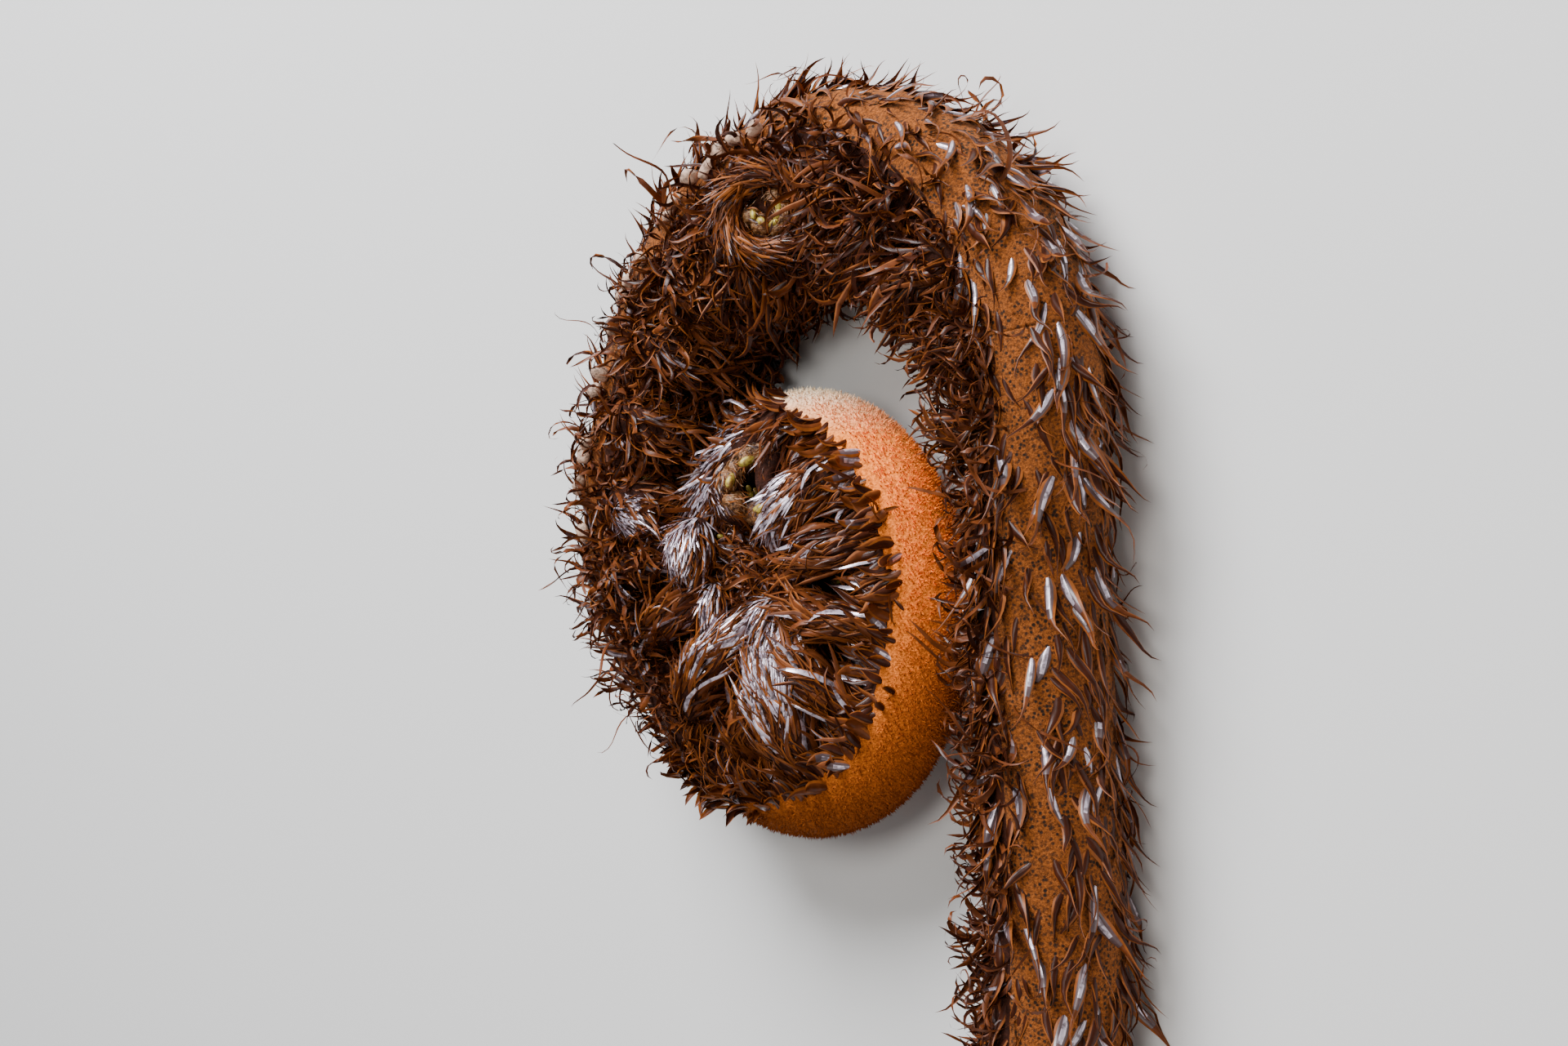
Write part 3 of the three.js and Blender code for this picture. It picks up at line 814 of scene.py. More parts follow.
def scatter_tree():
    """The node tree that stands forms on a ground mesh that steer has been over."""
    tree = bpy.data.node_groups.get("scatter_scales")
    if tree:
        return tree
    tree = bpy.data.node_groups.new("scatter_scales", "GeometryNodeTree")
    for name, kind in SCATTER_INPUTS.items():
        tree.interface.new_socket(name, in_out="INPUT", socket_type=f"NodeSocket{kind}")
    tree.interface.new_socket("Scales", in_out="OUTPUT", socket_type="NodeSocketGeometry")
    source = add_node(tree, "NodeGroupInput").node.outputs

    def named(name, kind="FLOAT"):
        return add_node(tree, "GeometryNodeInputNamedAttribute", {"Name": name}, "Attribute", data_type=kind)

    def drawn(kind, number, least, most):
        """A random value for each scale, from the sockets of the kind with that number."""
        inputs = {2 * number: least, 2 * number + 1: most, "Seed": source["Seed"]}
        return add_node(tree, "FunctionNodeRandomValue", inputs, number, data_type=kind)

    def calculated(operation, first, second):
        return add_node(tree, "ShaderNodeMath", {0: first, 1: second}, operation=operation)

    spread = add_node(tree, "GeometryNodeDistributePointsOnFaces", {
        "Mesh": source["Ground"], "Distance Min": source["Spacing"], "Density Max": source["Density"],
        "Density Factor": named("cover"), "Seed": source["Seed"],
    }, "Points", distribute_method="POISSON")
    normal = spread.node.outputs["Normal"]
    flow = named("flow", "FLOAT_VECTOR")
    axes = add_node(tree, "FunctionNodeAxesToRotation", {"Primary Axis": normal, "Secondary Axis": flow},
                    primary_axis="Z", secondary_axis="Y")
    euler = drawn("FLOAT_VECTOR", 0, source["Least Turn"], source["Most Turn"])
    turn = add_node(tree, "FunctionNodeEulerToRotation", {0: euler})
    rotation = add_node(tree, "FunctionNodeRotateRotation", {"Rotation": axes, "Rotate By": turn},
                        rotation_space="LOCAL")
    size = drawn("FLOAT", 1, source["Least Size"], source["Most Size"])
    forms = add_node(tree, "GeometryNodeCollectionInfo", {
        "Collection": source["Forms"], "Separate Children": True, "Reset Children": True})
    stand = add_node(tree, "GeometryNodeInstanceOnPoints", {
        "Points": spread, "Instance": forms, "Pick Instance": True,
        "Instance Index": drawn("INT", 2, 0, 1000), "Rotation": rotation,
        "Scale": calculated("MULTIPLY", size, named("growth")),
    })
    # A scale's tint is a random draw plus the painted light, which brings the brown tint and the painted
    # reflection.
    tint = calculated("ADD", drawn("FLOAT", 1, 0.0, 1.0), named("shine"))
    inputs = {"Geometry": stand, "Name": "tint", "Value": tint}
    keep = add_node(tree, "GeometryNodeStoreNamedAttribute", inputs, data_type="FLOAT", domain="INSTANCE")
    real = add_node(tree, "GeometryNodeRealizeInstances", {0: keep})

    def dressed(geometry, material, chosen=True):
        inputs = {"Geometry": geometry, "Material": source[material], "Selection": chosen}
        return add_node(tree, "GeometryNodeSetMaterial", inputs)

    def above(share):
        """True for the share of scales that have the highest tints."""
        start = calculated("SUBTRACT", 1.0, source[share])
        return add_node(tree, "FunctionNodeCompare", {0: named("tint"), 1: start},
                        data_type="FLOAT", operation="GREATER_THAN")

    result = dressed(real, "Dark")
    result = dressed(result, "Brown", above("Brown Share"))
    # Painted reflections: a faint one round a chosen scale's shoulder, and the silvery one on its ridge.
    for material, zone in (("Dusk", "waist"), ("Silver", "shoulder")):
        inputs = {0: above("Silver Share"), 1: named(zone, "BOOLEAN")}
        result = dressed(result, material, add_node(tree, "FunctionNodeBooleanMath", inputs, operation="AND"))
    result = dressed(result, "Margin", named("margin", "BOOLEAN"))
    add_node(tree, "NodeGroupOutput", {"Scales": result})
    return tree


def grow(name, ground, forms, palette, settings, starts=(), coat=None, more_seed=0):
    """Runs the scatter on a ground mesh, by the coat of that name, and finishes what grew as a plain mesh."""
    spacing, density, seed, turns, sizes, brown, silver = COATS[coat or name]
    least_lift, most_lift, roll, swing = (math.radians(turn) for turn in turns)
    values = {
        "Forms": forms, "Spacing": spacing * MM, "Density": density * settings.thickness_of_cover,
        "Seed": settings.seed + seed + more_seed, "Least Turn": [least_lift, -roll, -swing],
        "Most Turn": [most_lift, roll, swing], "Least Size": sizes[0], "Most Size": sizes[1],
        "Brown Share": brown, "Silver Share": silver,
    }
    values |= {tint.capitalize(): palette[tint] for tint in TINTS}
    tree = scatter_tree()
    scatter_step = ground.modifiers.new("scales", "NODES")
    scatter_step.node_group = tree
    for item in tree.interface.items_tree:
        if item.item_type == "SOCKET" and item.in_out == "INPUT" and item.name in values:
            scatter_step[item.identifier] = values[item.name]
    graph = bpy.context.evaluated_depsgraph_get()
    mesh = bpy.data.meshes.new_from_object(ground.evaluated_get(graph), depsgraph=graph)
    mesh.name = name
    piece = bpy.data.objects.new(name, mesh)
    bpy.context.scene.collection.objects.link(piece)
    ground.modifiers.remove(scatter_step)
    lay_on_ground(piece)
    for spare in ("flow", "cover", "growth", "shine", "tint"):
        if spare in mesh.attributes:
            mesh.attributes.remove(mesh.attributes[spare])
    finish(piece, starts)


# Where the scales stand on the stalk: each takes places and degrees from the middle of the back

def everywhere(place, degrees):
    return np.ones(len(place))


def nowhere(place, degrees):
    return np.zeros(len(place))


def cut_growth(place, degrees):
    """Shorter beside the cut."""
    return 0.5 + 0.5 * smooth_step(place, 2, 20)


def off_pores(place, degrees):
    """Thins the scales over the row of air pores."""
    row = smooth_step(place, PORES["from"] - 8, PORES["from"])
    row = row * (1 - smooth_step(place, PORES["to"], PORES["to"] + 8))
    return 1 - 0.9 * row * np.exp(-(((degrees - PORES["degrees"]) / 16) ** 2))


def stipe_lances(place, degrees):
    """Thick on the back, thin on the felted flank, and thick again on the inner side."""
    back = 0.95 * (1 - smooth_step(degrees, 44, 62))
    flank = 0.26 * smooth_step(degrees, 44, 58)
    inner = smooth_step(degrees, 76, 96)
    return np.maximum(np.maximum(back, flank), inner) * smooth_step(place, 1, 3)


def stipe_wool(place, degrees):
    return smooth_step(degrees, 84, 104) * smooth_step(place, 1, 4)


def stipe_shine(place, degrees):
    """Less painted light on the back and on the inner side: fewer silvery painted reflections and fewer brown
    scales.
    """
    return -0.2 * (1 - smooth_step(degrees, 20, 45)) - 0.2 * smooth_step(degrees, 80, 100)


def arch_lances(place, degrees):
    """Thick on the outside of the bend, with a few on its felted flank."""
    stretch = smooth_step(place, 190, 200) * (1 - smooth_step(place, 405, 450))
    back = 1 - smooth_step(degrees, 50, 70)
    flank = 0.32 * (1 - smooth_step(degrees, 96, 112))
    return stretch * np.maximum(back, flank) * off_pores(place, degrees)


def arch_wool(place, degrees):
    """Curls that creep over the flank from the inner side, the further the closer to the coil."""
    edge = 92 - 30 * smooth_step(place, 205, 262) - 14 * smooth_step(place, 262, 320)
    inner = smooth_step(degrees, edge, edge + 14)
    return inner * (1 - smooth_step(place, 438, 452)) * off_pores(place, degrees)


def arch_shade(place):
    """Painted shade: fewer light scales on the pinnae of the arch, where shade falls inside it, than on those
    of the arm.
    """
    return -0.25 * (1 - smooth_step(place, 300, 350))


def arch_wisps(place, degrees):
    return 1 - smooth_step(degrees, 60, 90)


def loose_threads(place, degrees):
    return 0.35 + 0.65 * smooth_step(degrees, 70, 120)


def from_felt_edge(place, degrees, width):
    """0 on the coil's felt and 1 off it."""
    edge = look_up(FELT_EDGE, place)
    return smooth_step(degrees, edge - width / 2, edge + width / 2)


def coil_nap(place, degrees):
    return 1 - from_felt_edge(place, degrees, 12)


def coil_petals(place, degrees):
    """A dense fringe along the felt's edge."""
    beyond = degrees - look_up(FELT_EDGE, place)
    return from_felt_edge(place, degrees, 6) * (1 - 0.7 * smooth_step(beyond, 26, 40))


def off_coil_felt(place, degrees):
    """Where scales hide the coil's felt: behind the fringe, and all over the heart."""
    beyond = degrees - look_up(FELT_EDGE, place)
    return np.maximum(smooth_step(beyond, 14, 26), smooth_step(place, 606, 620))


def coil_silk(place, degrees):
    return off_coil_felt(place, degrees) * (1 - 0.6 * heart_satin(place, degrees))


def silk_growth(place, degrees):
    return 0.62 + 0.38 * smooth_step(look_up(RADII, place), 5, 11)


def heart_satin(place, degrees):
    return smooth_step(place, 604, 622)


def heart_wool(place, degrees):
    return smooth_step(place, 640, 656)


# Painted reflections on the flanks of the coil's heart.
def heart_shine(place, degrees):
    flank = smooth_step(degrees, 10, 40) * (1 - smooth_step(degrees, 100, 130))
    return 0.4 * smooth_step(place, 604, 616) * flank


def stalk_ground(first, last, cover, inwards=False, growth=everywhere, shine=nowhere, sunk=0.3, comb=0.3):
    """A stretch of bare stalk for the scatter. Tips point to the foot, or else inwards over the pinnae's
    roots and at last to the stalk's own tip."""
    rings, outward, along, places, turns = stalk_rings(first, last, 2.0, 44)
    rows, columns, _ = rings.shape
    ground = closed_body("stalk_ground", *capped_rings(rings - outward * sunk * MM))
    place = np.repeat(places, columns)
    degrees = np.tile(from_back(turns), rows)
    ways = -np.repeat(along, columns, 0)
    if inwards:
        _, ahead, back, _ = stalk_frame(place)
        tipward = smooth_step(place, 596, 616)[:, None]
        ways = ahead * tipward - back * (1 - tipward * 0.85)
    points = rings.reshape(-1, 3)
    off = off_nests(points)
    steer(
        ground,
        with_ends(ways + swirl(points, 8 * MM, comb), 0),
        with_ends(np.clip(cover(place, degrees), 0, 1) * (0.4 + 0.6 * off), 0),
        with_ends(growth(place, degrees) * (0.3 + 0.7 * off), 0),
        with_ends(shine(place, degrees), 0),
    )
    return ground


# The stalk's coverings: kind of scale, stretch, where they stand, nodes and slot, and their ground's options.
STIPE = (("stipe",), "stalk")
ARCH = (("arch", "arm"), "stalk")
ARCH_AND_HEEL = (("arch", "arm", "coil_heel"), "stalk")
BARE_COIL = (("coil_sole", "coil_band", "coil_brow"), "felt")
COIL = (("coil_sole", "coil_band", "coil_brow", "coil_heart"), "felt")
TIP = STALK_LENGTH - 1
WOOLLY = {"growth": cut_growth, "comb": 1.3}
IN_COIL = {"inwards": True, "growth": silk_growth, "shine": heart_shine}
COVERINGS = {
    "stipe_lances": (
        "lance", CUT_PLACE, 200, stipe_lances, STIPE, {"growth": cut_growth, "shine": stipe_shine}),
    "arch_lances": ("lance", 190, 450, arch_lances, ARCH, {}),
    "stipe_wool": ("curl", CUT_PLACE, 176, stipe_wool, STIPE, WOOLLY),
    "arch_wool": ("curl", 170, 452, arch_wool, ARCH_AND_HEEL, WOOLLY),
    "coil_petals": ("petal", 440, TIP, coil_petals, COIL, IN_COIL),
    "coil_silk": ("silk", 440, TIP, coil_silk, COIL, IN_COIL),
    "heart_satin": ("satin", 440, TIP, heart_satin, COIL, IN_COIL),
    "heart_wool": ("curl", 630, TIP, heart_wool, (("coil_heart",), "felt"), {"inwards": True, "comb": 1.0}),
    "coil_nap": ("fuzz", 446, 620, coil_nap, BARE_COIL, {"sunk": -0.02}),
    "stipe_threads": ("thread", 12, 176, loose_threads, STIPE, {}),
    "arch_threads": ("thread", 176, 448, loose_threads, ARCH_AND_HEEL, {}),
    "arch_wisps": ("curl", 196, 400, arch_wisps, (("arch", "arm_upper"), "stalk"), {"comb": 1.2}),
}


def cover_stalk(settings, palette, form_seed, *names):
    """Grows coverings of the stalk, each from forms of its own."""
    for name in names:
        kind, first, last, where, (starts, slot), options = COVERINGS[name]
        forms = fuzz_forms() if kind == "fuzz" else scale_forms(kind, settings.seed + form_seed)
        ground = stalk_ground(first, last, where, **options)
        grow(name, ground, forms, palette, settings, starts)
        discard(ground, forms)


# The pinnae

def group_places(run):
    return np.linspace(run["from"], run["to"], run["count"])


def group_nodes(run, side):
    first = 1 if run is ARCH_PAIRS else ARCH_PAIRS["count"] + 1
    return [f"pinna_{SIDE_WORDS[side]}_{first + i:02d}" for i in range(run["count"])]


def follow_curl(place, steps=40):
    """How far a pinna reaches inwards and outwards, point by point along its curl, in mm."""
    length, radius = look_up(PINNA_LENGTHS, place), look_up(RADII, place)
    share = (np.arange(steps) + 0.5) / steps
    angle = np.radians(FIRST_ANGLE - CURL * share ** 1.35)
    inwards = 0.3 * radius + np.concatenate([[0], np.cumsum(np.cos(angle))]) * length / steps
    outwards = 0.56 * radius + np.concatenate([[0], np.cumsum(np.sin(angle))]) * length / steps
    return inwards, outwards


def pinna_path(place, side, shares):
    """Points, ways along and two ways square to them on a pinna's middle line."""
    middle, along, back, up = stalk_frame_at(place)
    inward = unit(along * LEAN - back)
    inwards, outwards = follow_curl(place)
    grid = np.linspace(0, 1, len(inwards))

    def point_at(share):
        share = np.clip(share, 0, 1)
        reach = np.interp(share, grid, inwards)[:, None] * inward
        stand = np.interp(share, grid, outwards)[:, None] * up * side
        return middle + (reach + stand) * MM

    ways = unit(point_at(shares + 0.02) - point_at(shares - 0.02))
    across = unit(along - ways * (ways @ along)[:, None])
    return point_at(shares), ways, np.cross(ways, across), across


def fist_size(place):
    return float(look_up(FISTS, place)) if place >= COIL_PAIRS["from"] else 1.0


def pinna_surface(place, side, rows, columns):
    """Rings of a pinna's skin, lumpy and rounded at its tip, with ways outwards, along it and its shares."""
    seed = int(place)
    shares = np.linspace(0.0, 1.0, rows)
    middle, ways, out, across = pinna_path(place, side, shares)
    tip = rounded_tip(shares, 0.86, 0.14)
    radius = look_up(PINNA_RADII, place) * look_up(PINNA_TAPER, shares) * tip * fist_size(place) * MM
    outward = ways_round(out, across, round_turns(columns))
    rings = middle[:, None] + outward * radius[:, None, None]
    flat = rings.reshape(-1, 3)
    lumps = lattice_noise(flat, 3.2 * MM, seed) * 0.55 * MM
    lumps += lattice_noise(flat, 1.3 * MM, seed + 1) * 0.25 * MM
    rings = rings + outward * lumps.reshape(rows, columns)[..., None]
    if side < 0:
        rings = rings[:, ::-1]
        outward = outward[:, ::-1]
    return rings, outward, ways, shares


def pinna_parts(run, side, rows, columns):
    """Points and faces of a run of pinnae, and at each point the way along, the share of the length, the way
    outwards and the place on the stalk."""
    points, faces, details = [], [], []
    for place in group_places(run):
        rings, outward, ways, shares = pinna_surface(place, side, rows, columns)
        more_points, more_faces = capped_rings(rings, sum(len(each) for each in points))
        points.append(more_points)
        faces += more_faces
        values = (np.repeat(ways, columns, 0), np.repeat(shares, columns), outward.reshape(-1, 3))
        details.append([*map(with_ends, values), np.full(len(more_points), place)])
    return np.concatenate(points), faces, [np.concatenate(part) for part in zip(*details)]


# Settings

def colour_setting(name, description, default):
    return FloatVectorProperty(
        name=name, description=description, subtype="COLOR", size=3, min=0, max=1, default=default)


class CrozierSettings(bpy.types.PropertyGroup):
    felt_colour: colour_setting("Felt", "Felt on the back of the coil", (0.4, 0.095, 0.01))
    # The pale felt is painted light, where the coil's brow faces the light.
    pale_felt_colour: colour_setting("Pale felt", "Felt on the coil's brow", (0.98, 0.8, 0.56))
    stipe_felt_colour: colour_setting("Stipe felt", "Felt between the stipe's scales", (0.22, 0.06, 0.01))
    scale_colour: colour_setting("Scales", "Middle of most scales", (0.045, 0.011, 0.0045))
    brown_colour: colour_setting("Brown scales", "Middle of the lighter scales", (0.13, 0.034, 0.009))
    # The silvery scales' colour is a painted reflection of the light on glossy scales.
    silver_colour: colour_setting("Silvery scales", "Middle of the shining scales", (0.7, 0.6, 0.68))
    margin_colour: colour_setting("Margins", "Thin amber margins of the scales", (0.24, 0.066, 0.011))
    pore_colour: colour_setting("Air pores", "Pale tissue of the air pores", (0.52, 0.33, 0.23))
    tender_colour: colour_setting("Tender tips", "Yellow-green tips inside the curls", (0.5, 0.4, 0.06))
    young_colour: colour_setting("Youngest curls", "Hair of the curls in the nests", (0.2, 0.07, 0.014))
    thickness_of_cover: FloatProperty(
        name="Cover", description="How thickly the scales stand", subtype="FACTOR",
        default=1.0, min=0.1, max=2.0)
    seed: IntProperty(name="Seed", description="Seed of everything random", default=5, min=0)


# Operators, one for each piece or group of pieces

class CROZIER_OT_stalk_skin(bpy.types.Operator):
    """Makes the stalk's felted skin in three stretches"""

    bl_idname = "crozier.stalk_skin"
    bl_label = "Stalk Skin"

    def make_stretch(self, name, first, last, step, columns, depth):
        """A stretch of skin with its relief, and each point's place and degrees from the back."""
        rings, outward, _, places, turns = stalk_rings(first, last, step, columns)
        if last == STALK_LENGTH:
            tip = rounded_tip(places, last - 2.5, 2.6)
            rings = rings - outward * (stalk_radius(places) * (1 - tip))[:, None, None]
        points = rings.reshape(-1, 3)
        relief = 0.45 * lattice_noise(points, 2.2 * MM, 3) + 0.55 * lattice_noise(points, 0.8 * MM, 7)
        relief = (depth * MM * relief).reshape(rings.shape[:2])
        if first == CUT_PLACE:
            relief[0] = 0
        piece = closed_body(name, *capped_rings(rings + outward * relief[..., None]))
        lay_on_ground(piece)
        shade_smooth(piece)
        return piece, np.repeat(places, columns), np.tile(from_back(turns), len(places))

    def execute(self, context):
        settings = context.scene.crozier
        stipe = shared(stipe_felt, settings)
        coil = shared(coil_felt, settings)
        under = shared(pinna_felt, settings)
        stretches = (
            (("stipe_skin", CUT_PLACE, ARCH_FROM, 0.8, 112, 0.3), stipe, stipe_wool, "stalk", ("stipe",)),
            (("arch_skin", ARCH_FROM, COIL_FROM, 0.9, 100, 0.3), stipe, arch_wool, "stalk",
             ("arch", "arm", "coil_heel")),
            (("coil_skin", COIL_FROM, STALK_LENGTH, 0.55, 124, 0.16), coil, off_coil_felt, "felt",
             ("coil_sole", "coil_band", "coil_brow", "coil_heart")),
        )
        for shape, material, covered, slot, starts in stretches:
            piece, place, degrees = self.make_stretch(*shape)
            is_under = np.append(covered(place, degrees) > 0.6, [False, False])
            corner = [face.vertices[0] for face in piece.data.polygons]
            piece.data.polygons.foreach_set("material_index", is_under[corner].astype(int))
            finish(piece, starts, [material, under])
        return {"FINISHED"}


class CROZIER_OT_cut_face(bpy.types.Operator):
    """Makes the fleshy cut end with its ring of bundles"""

    bl_idname = "crozier.cut_face"
    bl_label = "Cut Face"

    def make_face(self, rim, centre):
        """The sawn face, its outermost rings of rind."""
        columns = len(rim)
        shares = np.linspace(0.985, 0.0, CUT_RINGS + 1)[:-1]
        points = np.concatenate([centre + (rim - centre) * share for share in shares] + [[centre]])
        bumps = lattice_noise(points, 1.2 * MM, 11) * 0.12 + lattice_noise(points, 4 * MM, 12) * 0.2
        edge = smooth_step(np.append(np.repeat(shares, columns), 0), 0.9, 1)
        points[:, 1] -= np.clip(0.12 + 0.5 * bumps - 0.25 * edge, 0.0, 0.4) * MM
        faces = grid_faces(CUT_RINGS, columns)
        last = (CUT_RINGS - 1) * columns
        faces += [(last + i, last + (i + 1) % columns, len(points) - 1) for i in range(columns)]
        face = mesh_object("cut_face", points, faces)
        face.data.polygons.foreach_set("material_index", [int(i < columns * 2) for i in range(len(faces))])
        shade_smooth(face)
        return face

    def make_bundles(self, centre):
        """The ring of bundles, each a flat oval stub."""
        points, faces = [], []
        corners = BUNDLES["corners"]
        for i in range(BUNDLES["count"]):
            angle = 2 * math.pi * i / BUNDLES["count"]
            across = np.array([math.cos(angle), 0, math.sin(angle)])
            around = np.array([-math.sin(angle), 0, math.cos(angle)])
            reach = (BUNDLES["ring"] + BUNDLES["wave"] * math.sin(3 * angle)) * RADII[0][1] * MM
            at = centre + across * reach - (0, BUNDLES["proud"] * MM, 0)
            start = len(points)
            for turn in (2 * math.pi * j / corners for j in range(corners)):
                long = around * (BUNDLES["long"] * MM * math.cos(turn))
                short = across * (BUNDLES["short"] * MM * math.sin(turn))
                points.append(at + long + short)
                points.append(at + long * 1.1 + short * 1.1 + (0, BUNDLES["deep"] * MM, 0))
            faces.append([start + 2 * j for j in range(corners)])
            for j in range(corners):
                a, b = start + 2 * j, start + 2 * ((j + 1) % corners)
                faces.append((a, a + 1, b + 1, b))
        return closed_body("cut_bundles", points, faces)

    def execute(self, context):
        stops = ((0.3, (0.3, 0.2, 0.07)), (0.5, (0.52, 0.42, 0.18)), (0.7, (0.66, 0.58, 0.3)))
        flesh = noisy_material("cut_flesh", (0.5, 0.4, 0.17), stops, (500, 4, 0.7), 0.55, bump=0.4)
        rind = node_material("cut_rind", (0.07, 0.03, 0.012), 0.7)[0]
        bundle = node_material("cut_bundle", (0.13, 0.055, 0.02), 0.6)[0]
        rim = stalk_rings(CUT_PLACE, 6, 1, 64)[0][0]
        centre = rim.mean(0)
        finish(self.make_face(rim, centre), (), [flesh, rind])
        finish(self.make_bundles(centre), (), [bundle])
        return {"FINISHED"}


class CROZIER_OT_fuzz(bpy.types.Operator):
    """Grows the short nap of the coil's felt"""

    bl_idname = "crozier.fuzz"
    bl_label = "Felt Nap"

    def execute(self, context):
        settings = context.scene.crozier
        # The nap takes the coil's felt, with its painted light and shade.
        nap = dict.fromkeys(TINTS, shared(coil_felt, settings))
        cover_stalk(settings, nap, 0, "coil_nap")
        return {"FINISHED"}


class CROZIER_OT_pinnae(bpy.types.Operator):
    """Makes the bodies of the curled young leaflets"""

    bl_idname = "crozier.pinnae"
    bl_label = "Pinnae"

    def execute(self, context):
        material = shared(pinna_felt, context.scene.crozier)
        for part, run, side in PINNA_GROUPS:
            points, faces, _ = pinna_parts(run, side, *PINNA_BODY)
            piece = closed_body(f"pinnae_{part}_{SIDE_WORDS[side]}", points, faces)
            lay_on_ground(piece)
            shade_smooth(piece)
            finish(piece, group_nodes(run, side), [material])
        return {"FINISHED"}


class CROZIER_OT_pinna_scales(bpy.types.Operator):
    """Covers the pinnae with curly scales on the arch and silky ones in the coil"""

    bl_idname = "crozier.pinna_scales"
    bl_label = "Pinna Scales"

    def shine_of(self, points, shares, outward, side):
        """Painted highlights: brightest on the outer side of each curl's crown, in patches, and most where it
        faces the light.
        """
        crown = smooth_step(shares, 0.1, 0.32) * (1 - smooth_step(shares, 0.62, 0.85))
        patch = smooth_step(lattice_noise(points, 9 * MM, 31), -0.5, 0.5)
        painted_lit = smooth_step(outward @ (np.array(PAINTED_LIGHT_SIDE) * (1, 1, side)), 0.3, 0.85)
        outer = smooth_step(outward[:, 2] * side, -0.2, 0.4)
        return crown * outer * (0.6 + 0.4 * patch) * (0.15 + 1.05 * painted_lit)

    def execute(self, context):
        settings = context.scene.crozier
        palettes = {"satin": satin_palette(settings)}
        seed = settings.seed + 20
        curls, silks, satins = (scale_forms(kind, seed) for kind in ("curl", "silk", "satin"))
        for part, run, side in PINNA_GROUPS:
            points, faces, (ways, shares, outward, places) = pinna_parts(run, side, *PINNA_GROUND)
            ground = closed_body("pinna_ground", points, faces)
            shine = self.shine_of(points, shares, outward, side)
            off = off_nests(points)
            comb, least = (0.4, 0.55) if part == "coil" else (1.0, 0.3)
            cover = least + (1 - least) * off
            if part == "coil":
                # Painted highlights on the coil's fists where they face the light; the satin scales gather
                # there.
                painted_bright = shine * look_up(FISTS, places, PAINTED_LIGHT_COLUMN)
                coats = (
                    ("silk", silks, cover, 0.7 * painted_bright),
                    ("satin", satins, np.clip(painted_bright * 3.5 - 0.5, 0, 1) * off, 0.7 * painted_bright),
                )
            else:
                # On the arch, little painted highlight, and painted shade on its pinnae.
                painted_dim = shine * 0.15 + arch_shade(places)
                coats = (("wool", curls, cover, painted_dim), ("silk", silks, cover, painted_dim))
            flow = ways + swirl(points, 7 * MM, comb)
            growth = np.clip(look_up(PINNA_RADII, places) / 6.5, 0.5, 1.1) * (0.5 + 0.5 * off)
            for kind, forms, thickness, painted_brightness in coats:
                steer(ground, flow, thickness, growth, painted_brightness)
                grow(f"pinna_{kind}_{part}_{SIDE_WORDS[side]}", ground, forms,
                     palettes.get(kind) or scale_palette(settings), settings,
                     group_nodes(run, side), f"{part}_pinna_{kind}", int(side < 0))
            discard(ground)
        discard(curls, silks, satins)
        return {"FINISHED"}


class CROZIER_OT_lances(bpy.types.Operator):
    """Stands long-pointed scales on the stipe and the outside of the arch"""

    bl_idname = "crozier.lances"
    bl_label = "Long-Pointed Scales"

    def execute(self, context):
        settings = context.scene.crozier
        cover_stalk(settings, scale_palette(settings), 0, "stipe_lances", "arch_lances")
        return {"FINISHED"}


class CROZIER_OT_wool(bpy.types.Operator):
    """Fills the inner side of the stalk with curly narrow scales"""

    bl_idname = "crozier.wool"
    bl_label = "Curly Scales"

    def execute(self, context):
        settings = context.scene.crozier
        made = scale_palette(settings)
        # The inner side's curls take the brown tint for their margins: painted shade, where shade falls on
        # the inner side.
        cover_stalk(settings, made | {"margin": made["brown"]}, 5, "stipe_wool", "arch_wool")
        return {"FINISHED"}


class CROZIER_OT_fringe(bpy.types.Operator):
    """Grows the fringe of broad scales along the coil's felt, and silk inside it"""

    bl_idname = "crozier.fringe"
    bl_label = "Coil Fringe"

    def execute(self, context):
        settings = context.scene.crozier
        palette = scale_palette(settings)
        cover_stalk(settings, palette, 40, "coil_petals", "coil_silk", "heart_satin", "heart_wool")
        curls = scale_forms("curl", settings.seed + 40)
        middle = SHIFT + np.array([*HEART_MAT["middle"], COIL_HEIGHT]) * MM
        shape = (middle, (0, 0, 1.0), HEART_MAT["depth"] * MM, HEART_MAT["width"] * MM, 14, 20, 3, 0.2)
        mat = join_balls("heart_mat", [shape])
        points = np.array([vertex.co for vertex in mat.data.vertices])
        steer(mat, swirl(points, 6 * MM, 1.0) + (0, 0, 0.2))
        grow("heart_mat_wool", mat, curls, palette, settings)
        finish(mat, (), [shared(pinna_felt, settings)])
        discard(curls)
        return {"FINISHED"}


class CROZIER_OT_threads(bpy.types.Operator):
    """Lets loose hair-like scales hang from the stalk"""

    bl_idname = "crozier.threads"
    bl_label = "Loose Threads"

    def execute(self, context):
        settings = context.scene.crozier
        names = ("stipe_threads", "arch_threads", "arch_wisps")
        cover_stalk(settings, scale_palette(settings), 80, *names)
        return {"FINISHED"}


